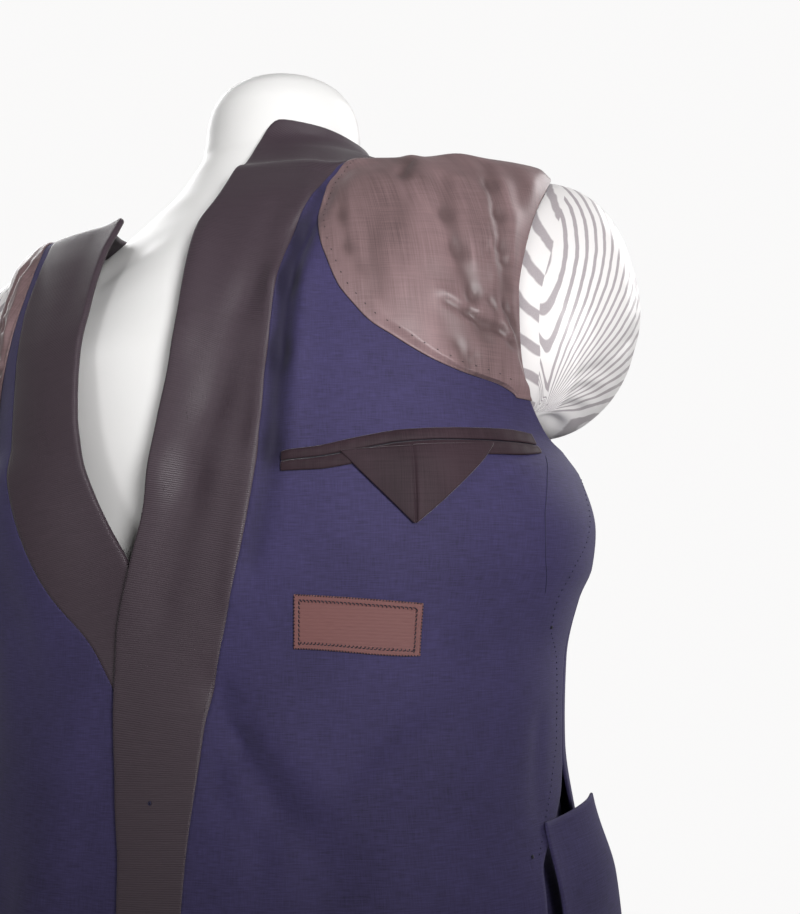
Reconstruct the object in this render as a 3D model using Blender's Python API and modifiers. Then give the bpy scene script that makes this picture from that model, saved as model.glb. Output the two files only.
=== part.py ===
"""A dinner jacket worn inside out on a limbless white dress form.

Metres, +Z up, the form faces -Y. The origin is at the centre of the form's flat base.
Every cloth piece lies on one garment skin. A point of the skin is named by two numbers:
phi, the angle round the body (0 = +X side, -90 = front, 90 = back, 180 = -X side), and
v, the path down the side from the neck point (0) over the shoulder (0.135) to the hem (0.835).
Angles of the -X half are written as their mirror on the +X half.
"""
import math

import bmesh
import bpy
import numpy as np

# ---------------------------------------------------------------- sizes (metres)
SHELL = 0.0020            # wool wall of fronts, backs and vent laps
FACING = 0.0020           # ribbed shawl wall
LINING = 0.0010           # satin and striped lining walls
SLEEVE = 0.0015           # wool sleeve wall
GAP = 0.0003              # air between two pieces that are sewn together
SHOULDER_V = 0.135        # path from neck point to shoulder point
SHOULDER_Z = 0.769        # height of the shoulder point
SHOULDER_BEND = 0.005     # extra path round the shoulder point
HEM_Z = 0.075             # height of the jacket hem
UNDERARM_V = 0.331        # path from neck point to underarm
VENT_V = 0.528            # path from neck point to the top of a side vent
ARM_Y = 0.010             # centre of the armhole, front to back
ARM_Z = 0.6735            # centre of the armhole, up and down
ARM_HALF_H = 0.0955       # half height of the armhole
ARM_FRONT = 0.0700        # reach of the armhole towards the front
ARM_BACK = 0.0700         # reach of the armhole towards the back
CUFF_Z = 0.140            # height of the hanging sleeve's cuff
BUTTON_Z = 0.370
BUTTON_R = 0.0100
SETTLE = 0.0020           # the skin table is measured over the cloth, this far out of its inner face
LOOSE = 0.0012            # air between a sleeve and its lining
SEAM_DEG = 0.08           # half of the gap of a vertical seam, in degrees of phi

# garment skin: path v, height z, half width, depth to front, depth to back, y of centre, squareness
SKIN = [
    (-0.030, 0.832, 0.0640, 0.0600, 0.0640, 0.012, 2.00),
    (-0.012, 0.815, 0.0640, 0.0590, 0.0640, 0.012, 2.00),
    (0.000, 0.804, 0.0660, 0.0595, 0.0655, 0.012, 2.00),
    (0.012, 0.7960, 0.0730, 0.0630, 0.0705, 0.012, 2.00),
    (0.030, 0.7900, 0.0880, 0.0665, 0.0750, 0.012, 2.00),
    (0.060, 0.7815, 0.1165, 0.0715, 0.0800, 0.011, 2.00),
    (0.095, 0.7750, 0.1505, 0.0780, 0.0855, 0.011, 2.00),
    (0.120, 0.7725, 0.1785, 0.0830, 0.0900, 0.010, 2.05),
    (0.135, 0.7690, 0.1955, 0.0870, 0.0930, 0.010, 2.10),
    (0.148, 0.7600, 0.2045, 0.0930, 0.0980, 0.009, 2.15),
    (0.169, 0.7400, 0.2070, 0.1060, 0.1090, 0.007, 2.20),
    (0.209, 0.7000, 0.2060, 0.1230, 0.1270, 0.003, 2.30),
    (0.249, 0.6600, 0.2020, 0.1340, 0.1340, 0.000, 2.30),
    (0.289, 0.6200, 0.1990, 0.1420, 0.1360, 0.000, 2.30),
    (0.324, 0.5850, 0.2010, 0.1470, 0.1350, 0.000, 2.30),
    (0.349, 0.5600, 0.2150, 0.1490, 0.1320, 0.000, 2.30),
    (0.384, 0.5250, 0.2240, 0.1480, 0.1280, 0.000, 2.30),
    (0.409, 0.5000, 0.2210, 0.1465, 0.1250, 0.000, 2.30),
    (0.429, 0.4800, 0.2120, 0.1450, 0.1220, 0.000, 2.30),
    (0.469, 0.4400, 0.2020, 0.1430, 0.1200, 0.000, 2.30),
    (0.524, 0.3850, 0.1995, 0.1440, 0.1260, 0.000, 2.30),
    (0.564, 0.3450, 0.2040, 0.1470, 0.1340, 0.000, 2.30),
    (0.609, 0.3000, 0.2150, 0.1500, 0.1430, 0.000, 2.30),
    (0.709, 0.2000, 0.2240, 0.1520, 0.1520, 0.000, 2.30),
    (0.834, 0.0750, 0.2250, 0.1510, 0.1530, 0.000, 2.30),
]

# soft folds: phi and z of both ends, width, depth (minus = trough)
FOLDS = [
    (-20.0, 0.785, -50.0, 0.760, 0.013, -0.0025),
    (-50.0, 0.760, -63.0, 0.705, 0.013, -0.0030),
    (-63.0, 0.705, -70.0, 0.640, 0.012, -0.0022),
    (-92.0, 0.690, -84.0, 0.560, 0.020, 0.0020),
    (-82.0, 0.425, -57.0, 0.325, 0.016, -0.0035),
    (-38.0, 0.400, -57.0, 0.322, 0.018, -0.0035),
    (-68.0, 0.400, -50.0, 0.360, 0.020, 0.0025),
    (-81.0, 0.415, -72.0, 0.412, 0.006, 0.0015),
    (-30.0, 0.540, -20.0, 0.470, 0.016, -0.0025),
    (16.0, 0.560, 30.0, 0.455, 0.018, -0.0035),
    (34.0, 0.640, 58.0, 0.490, 0.024, -0.0035),
    (60.0, 0.700, 74.0, 0.420, 0.024, 0.0030),
    (30.0, 0.330, 26.0, 0.080, 0.024, -0.0060),
    (52.0, 0.330, 56.0, 0.080, 0.026, 0.0050),
    (74.0, 0.330, 76.0, 0.080, 0.022, -0.0040),
    (-34.0, 0.280, -30.0, 0.080, 0.026, -0.0050),
    (-62.0, 0.260, -64.0, 0.080, 0.026, 0.0040),
    (-150.0, 0.560, -134.0, 0.430, 0.020, -0.0030),
    (-140.0, 0.300, -146.0, 0.080, 0.026, -0.0050),
    (-118.0, 0.420, -128.0, 0.250, 0.020, 0.0030),
    (150.0, 0.560, 136.0, 0.440, 0.020, -0.0035),
    (126.0, 0.650, 116.0, 0.470, 0.024, -0.0030),
    (108.0, 0.560, 104.0, 0.400, 0.022, 0.0030),
    (148.0, 0.330, 152.0, 0.080, 0.024, -0.0055),
    (128.0, 0.330, 124.0, 0.080, 0.026, 0.0050),
    (104.0, 0.330, 103.0, 0.080, 0.022, -0.0040),
]

# paths of the panels' rows: above the armhole, along the armhole, below it
ROWS_TOP_R = (0.0165, 0.030, 0.058, 0.085, 0.110, 0.128)
ROWS_TOP_L = (0.1015, 0.115, 0.128)
ROWS_BACK = (0.030, 0.058, 0.085, 0.110, 0.128)
HOLE_V = (0.1375, 0.146, 0.162, 0.184, 0.209, 0.234, 0.260, 0.284, 0.304, 0.318, 0.3265, 0.331)
ROWS_LOW = (0.352, 0.384, 0.420, 0.457, 0.493, 0.528, 0.548, 0.566, 0.590, 0.640, 0.700, 0.765, 0.832)
BACK_PHI = (0.10, 10.0, 22.0, 34.0, 46.0, 58.0, 69.0, 80.0, 89.75)
LINING_END = 0.304        # path of the lowest row of the shoulder lining

# right front: path v, phi of its outer edge (shoulder seam, armhole, side seam, vent)
EDGE_FRONT = [
    (0.008, -0.1), (0.060, -0.1), (0.110, -0.1), (0.128, -0.15), (0.137, -0.3), (0.331, 1.6), (0.345, 1.6), (0.384, 2.4), (0.430, 2.0), (0.460, 0.0), (0.528, -1.0),
    (0.545, -4.5), (0.560, -9.5), (0.575, -15.0), (0.590, -18.5), (0.640, -19.5), (0.834, -19.5),
]
# right back: the same for its outer edge
EDGE_BACK = [
    (0.008, 0.1), (0.060, 0.1), (0.110, 0.1), (0.128, 0.15), (0.137, 0.3), (0.331, 1.8), (0.345, 1.8), (0.384, 2.7), (0.430, 2.3), (0.460, 0.3), (0.528, -0.6),
    (0.560, 1.5), (0.600, 2.0), (0.834, 2.0),
]

# shawl: seam phi, seam v, fold phi, fold v, width of the leaf turned under
SHAWL_R = [
    (-88.5, 0.832, -99.0, 0.806, 0.010),
    (-90.0, 0.765, -103.5, 0.755, 0.010),
    (-90.0, 0.690, -104.5, 0.690, 0.010),
    (-90.0, 0.630, -104.8, 0.630, 0.010),
    (-89.3, 0.583, -105.3, 0.585, 0.010),
    (-87.5, 0.537, -107.5, 0.539, 0.010),
    (-85.5, 0.500, -108.7, 0.493, 0.014),
    (-81.7, 0.457, -108.1, 0.451, 0.032),
    (-78.4, 0.422, -103.6, 0.408, 0.050),
    (-74.5, 0.375, -98.8, 0.365, 0.064),
    (-71.8, 0.329, -96.2, 0.315, 0.074),
    (-70.6, 0.280, -93.4, 0.262, 0.078),
    (-68.5, 0.232, -93.9, 0.218, 0.078),
    (-65.0, 0.198, -94.4, 0.188, 0.076),
    (-58.8, 0.169, -90.9, 0.162, 0.070),
    (-51.5, 0.144, -88.6, 0.132, 0.060),
    (-42.5, 0.115, -87.3, 0.090, 0.052),
    (-32.5, 0.085, -85.3, 0.045, 0.046),
    (-23.0, 0.058, -81.5, 0.007, 0.042),
    (-13.5, 0.034, -68.0, -0.010, 0.040),
    (-5.0, 0.016, -42.0, -0.007, 0.040),
    (8.0, 0.008, -10.0, -0.001, 0.040),
    (30.0, 0.012, 22.0, 0.001, 0.040),
    (60.0, 0.018, 56.0, 0.003, 0.040),
    (89.75, 0.026, 89.75, 0.006, 0.040),
]
SHAWL_L = [
    (-82.0, 0.832, -91.0, 0.806, 0.010),
    (-81.0, 0.765, -94.5, 0.755, 0.010),
    (-80.0, 0.690, -94.8, 0.690, 0.010),
    (-80.0, 0.630, -95.0, 0.630, 0.010),
    (-79.0, 0.583, -95.0, 0.585, 0.010),
    (-77.0, 0.537, -95.0, 0.539, 0.010),
    (-73.0, 0.500, -92.0, 0.493, 0.014),
    (-64.0, 0.457, -85.0, 0.451, 0.030),
    (-53.0, 0.422, -74.0, 0.408, 0.044),
    (-45.0, 0.375, -65.0, 0.365, 0.054),
    (-39.0, 0.329, -59.0, 0.315, 0.058),
    (-35.5, 0.280, -55.5, 0.262, 0.060),
    (-33.0, 0.232, -53.0, 0.218, 0.060),
    (-30.0, 0.198, -50.0, 0.190, 0.056),
    (-27.0, 0.169, -46.0, 0.162, 0.052),
    (-22.0, 0.144, -40.0, 0.132, 0.046),
    (-14.0, 0.120, -29.0, 0.100, 0.040),
    (-6.0, 0.104, -13.0, 0.076, 0.038),
    (4.0, 0.096, 3.0, 0.066, 0.038),
    (25.0, 0.078, 24.0, 0.050, 0.038),
    (50.0, 0.052, 50.0, 0.028, 0.040),
    (72.0, 0.034, 72.0, 0.012, 0.040),
    (89.75, 0.026, 89.75, 0.006, 0.040),
]

# front shoulder lining: path v, phi of its free edge
LINING_R = [
    (0.014, -4.0), (0.040, -13.5), (0.085, -30.0), (0.115, -41.0), (0.140, -49.6), (0.170, -55.9),
    (0.189, -57.8), (0.206, -57.4), (0.221, -56.0), (0.238, -53.9), (0.250, -51.2), (0.262, -47.9),
    (0.270, -44.2), (0.277, -40.9), (0.284, -37.0), (0.292, -30.5), (0.298, -22.5), (0.304, -19.0),
    (0.318, -26.0), (0.345, -40.0), (0.420, -48.0), (0.600, -54.0), (0.834, -54.0),
]

# pocket corners and label corners on the right front: phi, z
POCKET_JETS = [
    (-67.2, 0.5680, 0.5630, 0.5620, 0.5570),
    (-60.0, 0.5705, 0.5650, 0.5638, 0.5575),
    (-52.0, 0.5755, 0.5690, 0.5678, 0.5610),
    (-44.0, 0.5800, 0.5735, 0.5723, 0.5650),
    (-36.0, 0.5820, 0.5755, 0.5743, 0.5665),
    (-28.0, 0.5830, 0.5760, 0.5748, 0.5670),
    (-22.0, 0.5835, 0.5760, 0.5748, 0.5675),
    (-16.0, 0.5825, 0.5755, 0.5743, 0.5700),
]
TAB_TIP = (-42.7, 0.5255)
TAB_LEFT = (-55.5, 0.5675)
TAB_RIGHT = (-27.5, 0.5725)
LABEL_LEFT = -64.4
LABEL_RIGHT = -40.6
LABEL_TOP = (0.4850, 0.4790)
LABEL_BOTTOM = (0.4540, 0.4490)

# dress form: height, half width, depth to front, depth to back, x of centre, y of centre, squareness
FORM = [
    (0.000, 0.168, 0.108, 0.118, 0.000, 0.004, 2.3),
    (0.090, 0.176, 0.112, 0.124, 0.000, 0.004, 2.3),
    (0.180, 0.174, 0.110, 0.120, 0.000, 0.002, 2.3),
    (0.280, 0.158, 0.106, 0.104, 0.000, 0.000, 2.3),
    (0.370, 0.144, 0.104, 0.096, 0.000, 0.000, 2.3),
    (0.440, 0.146, 0.108, 0.098, 0.000, 0.000, 2.3),
    (0.520, 0.157, 0.118, 0.108, 0.000, 0.000, 2.3),
    (0.590, 0.166, 0.128, 0.118, 0.000, 0.001, 2.3),
    (0.640, 0.172, 0.128, 0.122, 0.000, 0.003, 2.3),
    (0.685, 0.178, 0.117, 0.119, 0.000, 0.005, 2.2),
    (0.715, 0.176, 0.103, 0.110, 0.000, 0.007, 2.1),
    (0.735, 0.160, 0.089, 0.099, 0.000, 0.009, 2.0),
    (0.750, 0.130, 0.077, 0.087, 0.000, 0.010, 2.0),
    (0.763, 0.108, 0.069, 0.078, -0.001, 0.011, 2.0),
    (0.776, 0.086, 0.061, 0.069, -0.003, 0.012, 2.0),
    (0.790, 0.0700, 0.0550, 0.0610, -0.004, 0.013, 2.0),
    (0.806, 0.0585, 0.0510, 0.0570, -0.002, 0.013, 2.0),
    (0.822, 0.0575, 0.0510, 0.0560, 0.000, 0.013, 2.0),
    (0.836, 0.0550, 0.0500, 0.0540, 0.000, 0.013, 2.0),
    (0.849, 0.0480, 0.0450, 0.0480, 0.000, 0.013, 2.0),
    (0.858, 0.0370, 0.0350, 0.0370, 0.000, 0.013, 2.0),
    (0.863, 0.0230, 0.0220, 0.0230, 0.000, 0.013, 2.0),
    (0.8645, 0.0080, 0.0080, 0.0080, 0.000, 0.013, 2.0),
]
STUB_Z = 0.688            # centre of the form's rounded shoulder stub
STUB_OUT = 0.054          # how far the stub stands out of the form's ring
STUB_H = 0.086            # half height of the stub
STUB_DEG = 21.0           # half width of the stub, in degrees

WOOL = (0.030, 0.026, 0.085, 1.0)
RIBBED = (0.030, 0.024, 0.026, 1.0)
SATIN = (0.150, 0.110, 0.105, 1.0)
STRIPE = (0.800, 0.785, 0.790, 1.0)
WHITE = (0.850, 0.850, 0.845, 1.0)
WOVEN = (0.090, 0.045, 0.040, 1.0)
HORN = (0.020, 0.018, 0.020, 1.0)


# ---------------------------------------------------------------- curves and skin
def column(rows, key, at):
    """Smooth monotone curve through one column of a table against its first column."""
    table = np.array(rows, float)
    x = table[:, 0]
    y = table[:, key]
    at = np.clip(np.asarray(at, float), x[0], x[-1])
    step = np.diff(x)
    slope = np.diff(y) / step
    m = np.zeros_like(y)
    for k in range(1, len(x) - 1):
        if slope[k - 1] * slope[k] > 0:
            w1 = 2 * step[k] + step[k - 1]
            w2 = step[k] + 2 * step[k - 1]
            m[k] = (w1 + w2) / (w1 / slope[k - 1] + w2 / slope[k])
    m[0] = slope[0]
    m[-1] = slope[-1]
    k = np.clip(np.searchsorted(x, at) - 1, 0, len(x) - 2)
    t = (at - x[k]) / step[k]
    a = y[k] * (1 + 2 * t) * (1 - t) ** 2
    b = step[k] * m[k] * t * (1 - t) ** 2
    c = y[k + 1] * t * t * (3 - 2 * t)
    d = step[k] * m[k + 1] * t * t * (t - 1)
    return a + b + c + d


def stations(rows, count):
    """Resample every column of a list of stations evenly from first to last."""
    table = np.array(rows, float)
    index = np.arange(len(table), dtype=float)
    packed = np.column_stack([index, table])
    at = np.linspace(0, len(table) - 1, count)
    return np.column_stack([column(packed, k, at) for k in range(1, packed.shape[1])])


def smooth(x):
    x = np.clip(x, 0.0, 1.0)
    return x * x * (3 - 2 * x)


def v_of_z(z):
    return SHOULDER_V + SHOULDER_Z + SHOULDER_BEND - np.asarray(z, float)


def relief(phi, z):
    """Height of the soft folds at an angle in degrees and a height."""
    phi = (np.asarray(phi, float) + 180.0) % 360.0 - 180.0
    total = np.zeros(np.broadcast(phi, z).shape)
    for p0, z0, p1, z1, width, depth in FOLDS:
        scale = 0.0029
        ax = ((phi - p0 + 180.0) % 360.0 - 180.0) * scale
        az = z - z0
        bx = (p1 - p0) * scale
        bz = z1 - z0
        length = math.hypot(bx, bz)
        along = (ax * bx + az * bz) / length
        across = (ax * bz - az * bx) / length
        beyond = np.maximum(np.maximum(-along, along - length), 0.0)
        total += depth * np.exp(-(across / width) ** 2 - (beyond / (1.3 * width)) ** 2)
    return total


def far_drop(x, z):
    """The -X shoulder sits a little lower than the +X one."""
    return 0.027 * smooth((-x - 0.03) / 0.08) * smooth((z - 0.60) / 0.12)


def bare_skin(phi, v):
    """Point of the smooth garment skin."""
    phi, v = np.broadcast_arrays(np.asarray(phi, float), np.asarray(v, float))
    z, a, front, back, yc, n = (column(SKIN, k, v) for k in range(1, 7))
    c = np.cos(np.radians(phi))
    s = np.sin(np.radians(phi))
    b = np.where(s < 0, front, back)
    r = ((np.abs(c) / a) ** n + (np.abs(s) / b) ** n) ** (-1 / n)
    x = r * c
    return np.stack([x, yc + r * s, z - far_drop(x, z)], -1)


def skin_normal(phi, v):
    e = 0.0015
    du = bare_skin(phi + 0.4, v) - bare_skin(phi - 0.4, v)
    low = np.maximum(v - e, SKIN[0][0])
    high = np.minimum(v + e, SKIN[-1][0])
    dv = bare_skin(phi, high) - bare_skin(phi, low)
    n = np.cross(dv, du)
    return n / np.linalg.norm(n, axis=-1, keepdims=True)


def skin(phi, v, out=0.0):
    """Point of the folded garment skin, moved outward by out."""
    phi, v = np.broadcast_arrays(np.asarray(phi, float), np.asarray(v, float))
    p = bare_skin(phi, v)
    lift = relief(phi, p[..., 2]) * smooth((v - 0.01) / 0.05)
    return p + skin_normal(phi, v) * (lift + out - SETTLE)[..., None]


def mirror(phi, side):
    """Angle on the real skin of an angle that was written for the +X half."""
    return phi if side > 0 else -180.0 - phi


# ---------------------------------------------------------------- armhole
def arm_phi(v, front):
    """Angle of the armhole edge at path v."""
    z, a, bf, bb, yc, n = (column(SKIN, k, v) for k in range(1, 7))
    k = np.clip(np.abs(z - ARM_Z) / ARM_HALF_H, 0, 1)
    power = np.where(z > ARM_Z, 1.5 if front else 1.9, 2.8 if front else 2.5)
    half = (1 - k ** power) ** (1 / power)
    y = ARM_Y + (-ARM_FRONT if front else ARM_BACK) * half
    b = np.where(y < yc, bf, bb)
    x = a * (1 - np.abs((y - yc) / b) ** n) ** (1 / n)
    return np.degrees(np.arctan2(y - yc, x))


def edge(v, front):
    """Angle of the outer edge of a front or back panel at path v."""
    v = np.asarray(v, float)
    plain = column(EDGE_FRONT if front else EDGE_BACK, 1, v)
    inside = (v > HOLE_V[0] - 1e-6) & (v < HOLE_V[-1] - 1e-6)
    return np.where(inside, arm_phi(v, front), plain)


# ---------------------------------------------------------------- Blender helpers
def material(name, colour, roughness):
    mat = bpy.data.materials.new(name)
    mat.use_nodes = True
    shader = mat.node_tree.nodes["Principled BSDF"]
    shader.inputs["Base Color"].default_value = colour
    shader.inputs["Roughness"].default_value = roughness
    return mat


def place(name, bm, mat):
    """Turn a bmesh into a named object with its faces pointing out."""
    mesh = bpy.data.meshes.new(name)
    bm.to_mesh(mesh)
    bm.free()
    mesh.materials.append(mat)
    obj = bpy.data.objects.new(name, mesh)
    bpy.context.scene.collection.objects.link(obj)
    return obj


def sheet_mesh(grid, round_u=False, flip=False):
    """Triangles through a grid of points, split the same way in every layer."""
    bm = bmesh.new()
    rows, cols = grid.shape[:2]
    verts = [[bm.verts.new(grid[i, j]) for j in range(cols)] for i in range(rows)]
    last = cols if round_u else cols - 1
    for i in range(rows - 1):
        for j in range(last):
            k = (j + 1) % cols
            one = [verts[i][j], verts[i][k], verts[i + 1][k]]
            two = [verts[i][j], verts[i + 1][k], verts[i + 1][j]]
            bm.faces.new(one[::-1] if flip else one)
            bm.faces.new(two[::-1] if flip else two)
    return bm


def wall(name, grid, thick, mat, where=1.0, round_u=False, flip=False):
    """Cloth wall: a sheet through the points, thickened by a Solidify modifier."""
    obj = place(name, sheet_mesh(grid, round_u, flip), mat)
    solid = obj.modifiers.new("Wall", "SOLIDIFY")
    solid.thickness = thick
    solid.offset = where
    solid.use_even_offset = False
    solid.use_rim = True
    return obj


def wall_between(name, low, high, mat, round_u=False):
    """Cloth wall lofted between its two faces, given as grids of the same size."""
    bm = bmesh.new()
    rows, cols = low.shape[:2]
    sides = [[[bm.verts.new(g[i, j]) for j in range(cols)] for i in range(rows)] for g in (low, high)]
    last = cols if round_u else cols - 1
    for verts in sides:
        for i in range(rows - 1):
            for j in range(last):
                k = (j + 1) % cols
                bm.faces.new([verts[i][j], verts[i][k], verts[i + 1][k]])
                bm.faces.new([verts[i][j], verts[i + 1][k], verts[i + 1][j]])
    a, b = sides
    for i in (0, rows - 1):
        for j in range(last):
            k = (j + 1) % cols
            bm.faces.new([a[i][j], a[i][k], b[i][k], b[i][j]])
    if not round_u:
        for j in (0, cols - 1):
            for i in range(rows - 1):
                bm.faces.new([a[i][j], a[i + 1][j], b[i + 1][j], b[i][j]])
    bmesh.ops.recalc_face_normals(bm, faces=bm.faces)
    return place(name, bm, mat)


def span(a, b, count):
    return np.linspace(a, b, count)


# ---------------------------------------------------------------- dress form
def form_rows():
    table = np.array(FORM, float)
    heights = np.concatenate([span(0.0, 0.58, 9), span(0.61, 0.78, 11),
                              span(0.792, 0.840, 4), table[-4:, 0]])
    return heights


def form_point(phi, z):
    a, front, back, xc, yc, n = (column(FORM, k, z) for k in range(1, 7))
    phi, z = np.broadcast_arrays(np.asarray(phi, float), np.asarray(z, float))
    c = np.cos(np.radians(phi))
    s = np.sin(np.radians(phi))
    b = np.where(s < 0, front, back)
    r = ((np.abs(c) / a) ** n + (np.abs(s) / b) ** n) ** (-1 / n)
    off = np.minimum(np.abs((phi - 2.0 + 180) % 360 - 180), np.abs((phi - 178.0 + 180) % 360 - 180))
    k = np.sqrt((off / STUB_DEG) ** 2 + ((z - STUB_Z) / STUB_H) ** 2)
    r = r + STUB_OUT * np.sqrt(np.clip(1 - k ** 2, 0, 1)) * smooth((1 - k) * 2.2)
    x = xc + r * c
    drop = far_drop(x, z) * (1 - 0.55 * smooth((z - 0.725) / 0.03)) * (1 - smooth((z - 0.79) / 0.02))
    return np.stack([x, yc + r * s, z - drop], -1)


def make_form(mat):
    z = form_rows()
    phi = span(0, 360, 33)[:-1]
    grid = form_point(phi[None, :], z[:, None])
    bm = sheet_mesh(grid, round_u=True)
    bm.verts.ensure_lookup_table()
    cols = len(phi)
    bm.faces.new([bm.verts[j] for j in range(cols)][::-1])
    bm.faces.new([bm.verts[(len(z) - 1) * cols + j] for j in range(cols)])
    return place("dress_form", bm, mat)


# ---------------------------------------------------------------- fronts and backs
def shawl_at(v, side):
    """Seam phi, fold phi, fold v and leaf width of the front part of a shawl, at seam path v."""
    rows = [(r[1], r[0], r[2], r[3], r[4]) for r in (SHAWL_R if side > 0 else SHAWL_L) if r[0] < 6.0]
    rows.sort()
    return [column(rows, k, v) for k in range(1, 5)]


def shawl_behind(phi, side):
    """Seam v, fold phi, fold v and leaf width of the neck part of a shawl, at seam angle phi."""
    rows = [(r[0], r[1], r[2], r[3], r[4]) for r in (SHAWL_R if side > 0 else SHAWL_L) if r[0] > -20.0]
    rows.sort()
    return [column(rows, k, phi) for k in range(1, 5)]


def sink(phi, v, side):
    """How far the under front lies below the upper one where they overlap."""
    phi, v = np.broadcast_arrays(np.asarray(phi, float), np.asarray(v, float))
    if side > 0:
        return np.zeros(phi.shape)
    return 0.0056 * smooth((-phi - 46.0) / 22.0) * smooth((v - 0.31) / 0.07)


def front_rows(side):
    rows = ROWS_TOP_R if side > 0 else ROWS_TOP_L
    return np.array(list(rows) + list(HOLE_V) + list(ROWS_LOW))


def front_nodes(side):
    """Angles and paths of a front's nodes: five steps to the lining's edge, four to the seam."""
    v = front_rows(side)
    seam, fold, fold_v, leaf = shawl_at(v, side)
    length = np.linalg.norm(bare_skin(seam, v) - bare_skin(fold, fold_v), axis=-1)
    apart = 0.00045 + 0.0011 * smooth((v[min(1, side + 1)] + 0.02 - v) / 0.02)
    inner = seam + (seam - fold) * apart / length
    inner_v = v + (v - fold_v) * apart / length
    outer = edge(v, True) - SEAM_DEG
    knot = column(LINING_R, 1, v)
    if side < 0:
        knot = outer + (knot - outer) * np.clip((inner - outer) / (shawl_at(v, 1)[0] - outer), 0, 1)
    knot = np.maximum(knot, inner + 2.0)
    knot = np.minimum(knot, outer - 0.08 * (outer - inner))
    a = outer[:, None] + (knot - outer)[:, None] * span(0, 1, 6)[None, :]
    b = knot[:, None] + (inner - knot)[:, None] * span(0, 1, 5)[None, 1:]
    phi = np.concatenate([a, b], 1)
    u = (phi - outer[:, None]) / (inner - outer)[:, None]
    outer_v = v.copy()
    outer_v[0] = shawl_behind(-0.1, side)[0] + 0.0006
    return phi, outer_v[:, None] + (inner_v - outer_v)[:, None] * u


def front_grid(side, out=0.0):
    phi, v = front_nodes(side)
    return skin(mirror(phi, side), v, out - sink(phi, v, side))


def on_front(phi, v, out):
    """Point over the right front's own flat facets, moved outward by out."""
    node_phi, node_v = front_nodes(1)
    grid = front_grid(1, SHELL)
    phi, v = np.broadcast_arrays(np.asarray(phi, float), np.asarray(v, float))
    result = np.zeros(phi.shape + (3,))
    for k in np.ndindex(phi.shape):
        ends = []
        for row in range(len(grid)):
            order = np.argsort(node_phi[row])
            at = [np.interp(phi[k], node_phi[row][order], grid[row][order, c]) for c in range(3)]
            path = np.interp(phi[k], node_phi[row][order], node_v[row][order])
            ends.append([path] + at)
        ends = np.array(ends)
        result[k] = [np.interp(v[k], ends[:, 0], ends[:, c]) for c in (1, 2, 3)]
    return result + skin_normal(phi, v) * (out - SHELL)


def make_front(name, side, mat):
    return wall_between(name, front_grid(side), front_grid(side, SHELL), mat)


def back_nodes(side):
    """Angles and paths of a back's nodes; its outer nodes share the front's path values."""
    first = np.array(BACK_PHI)
    seam_v, fold, fold_v, leaf = shawl_behind(first, side)
    reach = np.linalg.norm(bare_skin(first, seam_v + 0.001) - bare_skin(first, seam_v), axis=-1)
    top = seam_v + 0.0016 * 0.001 / reach
    rows = np.array([0.0] + list(ROWS_BACK) + list(HOLE_V) + list(ROWS_LOW))
    rows = rows[(rows == 0.0) | (rows > top[0] + 0.012)]
    rows[0] = top[0]
    w = (rows - top[0]) / (rows[-1] - top[0])
    v = top[None, :] + (rows[-1] - top)[None, :] * w[:, None]
    v[:, 0] = rows
    outer = edge(rows, False)[:, None] + SEAM_DEG
    u = (first - first[0]) / (first[-1] - first[0])
    phi = outer + (first[-1] - outer) * u[None, :]
    return phi, v


def back_grid(side, out=0.0):
    phi, v = back_nodes(side)
    return skin(mirror(phi, side), v, out)


def make_back(name, side, mat):
    return wall_between(name, back_grid(side), back_grid(side, SHELL), mat)


# ---------------------------------------------------------------- shawl
def shawl_stations(side):
    """Hem to centre back: seam phi, seam v, fold phi, fold v, leaf width."""
    v = front_rows(side)[::-1]
    seam, fold, fold_v, leaf = shawl_at(v, side)
    front = np.column_stack([seam, v, fold, fold_v, leaf])
    phi = np.array(BACK_PHI)
    seam_v, fold, fold_v, leaf = shawl_behind(phi, side)
    behind = np.column_stack([phi, seam_v, fold, fold_v, leaf])
    behind[-1, 2] = behind[-1, 0]
    return np.concatenate([front, behind])


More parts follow.
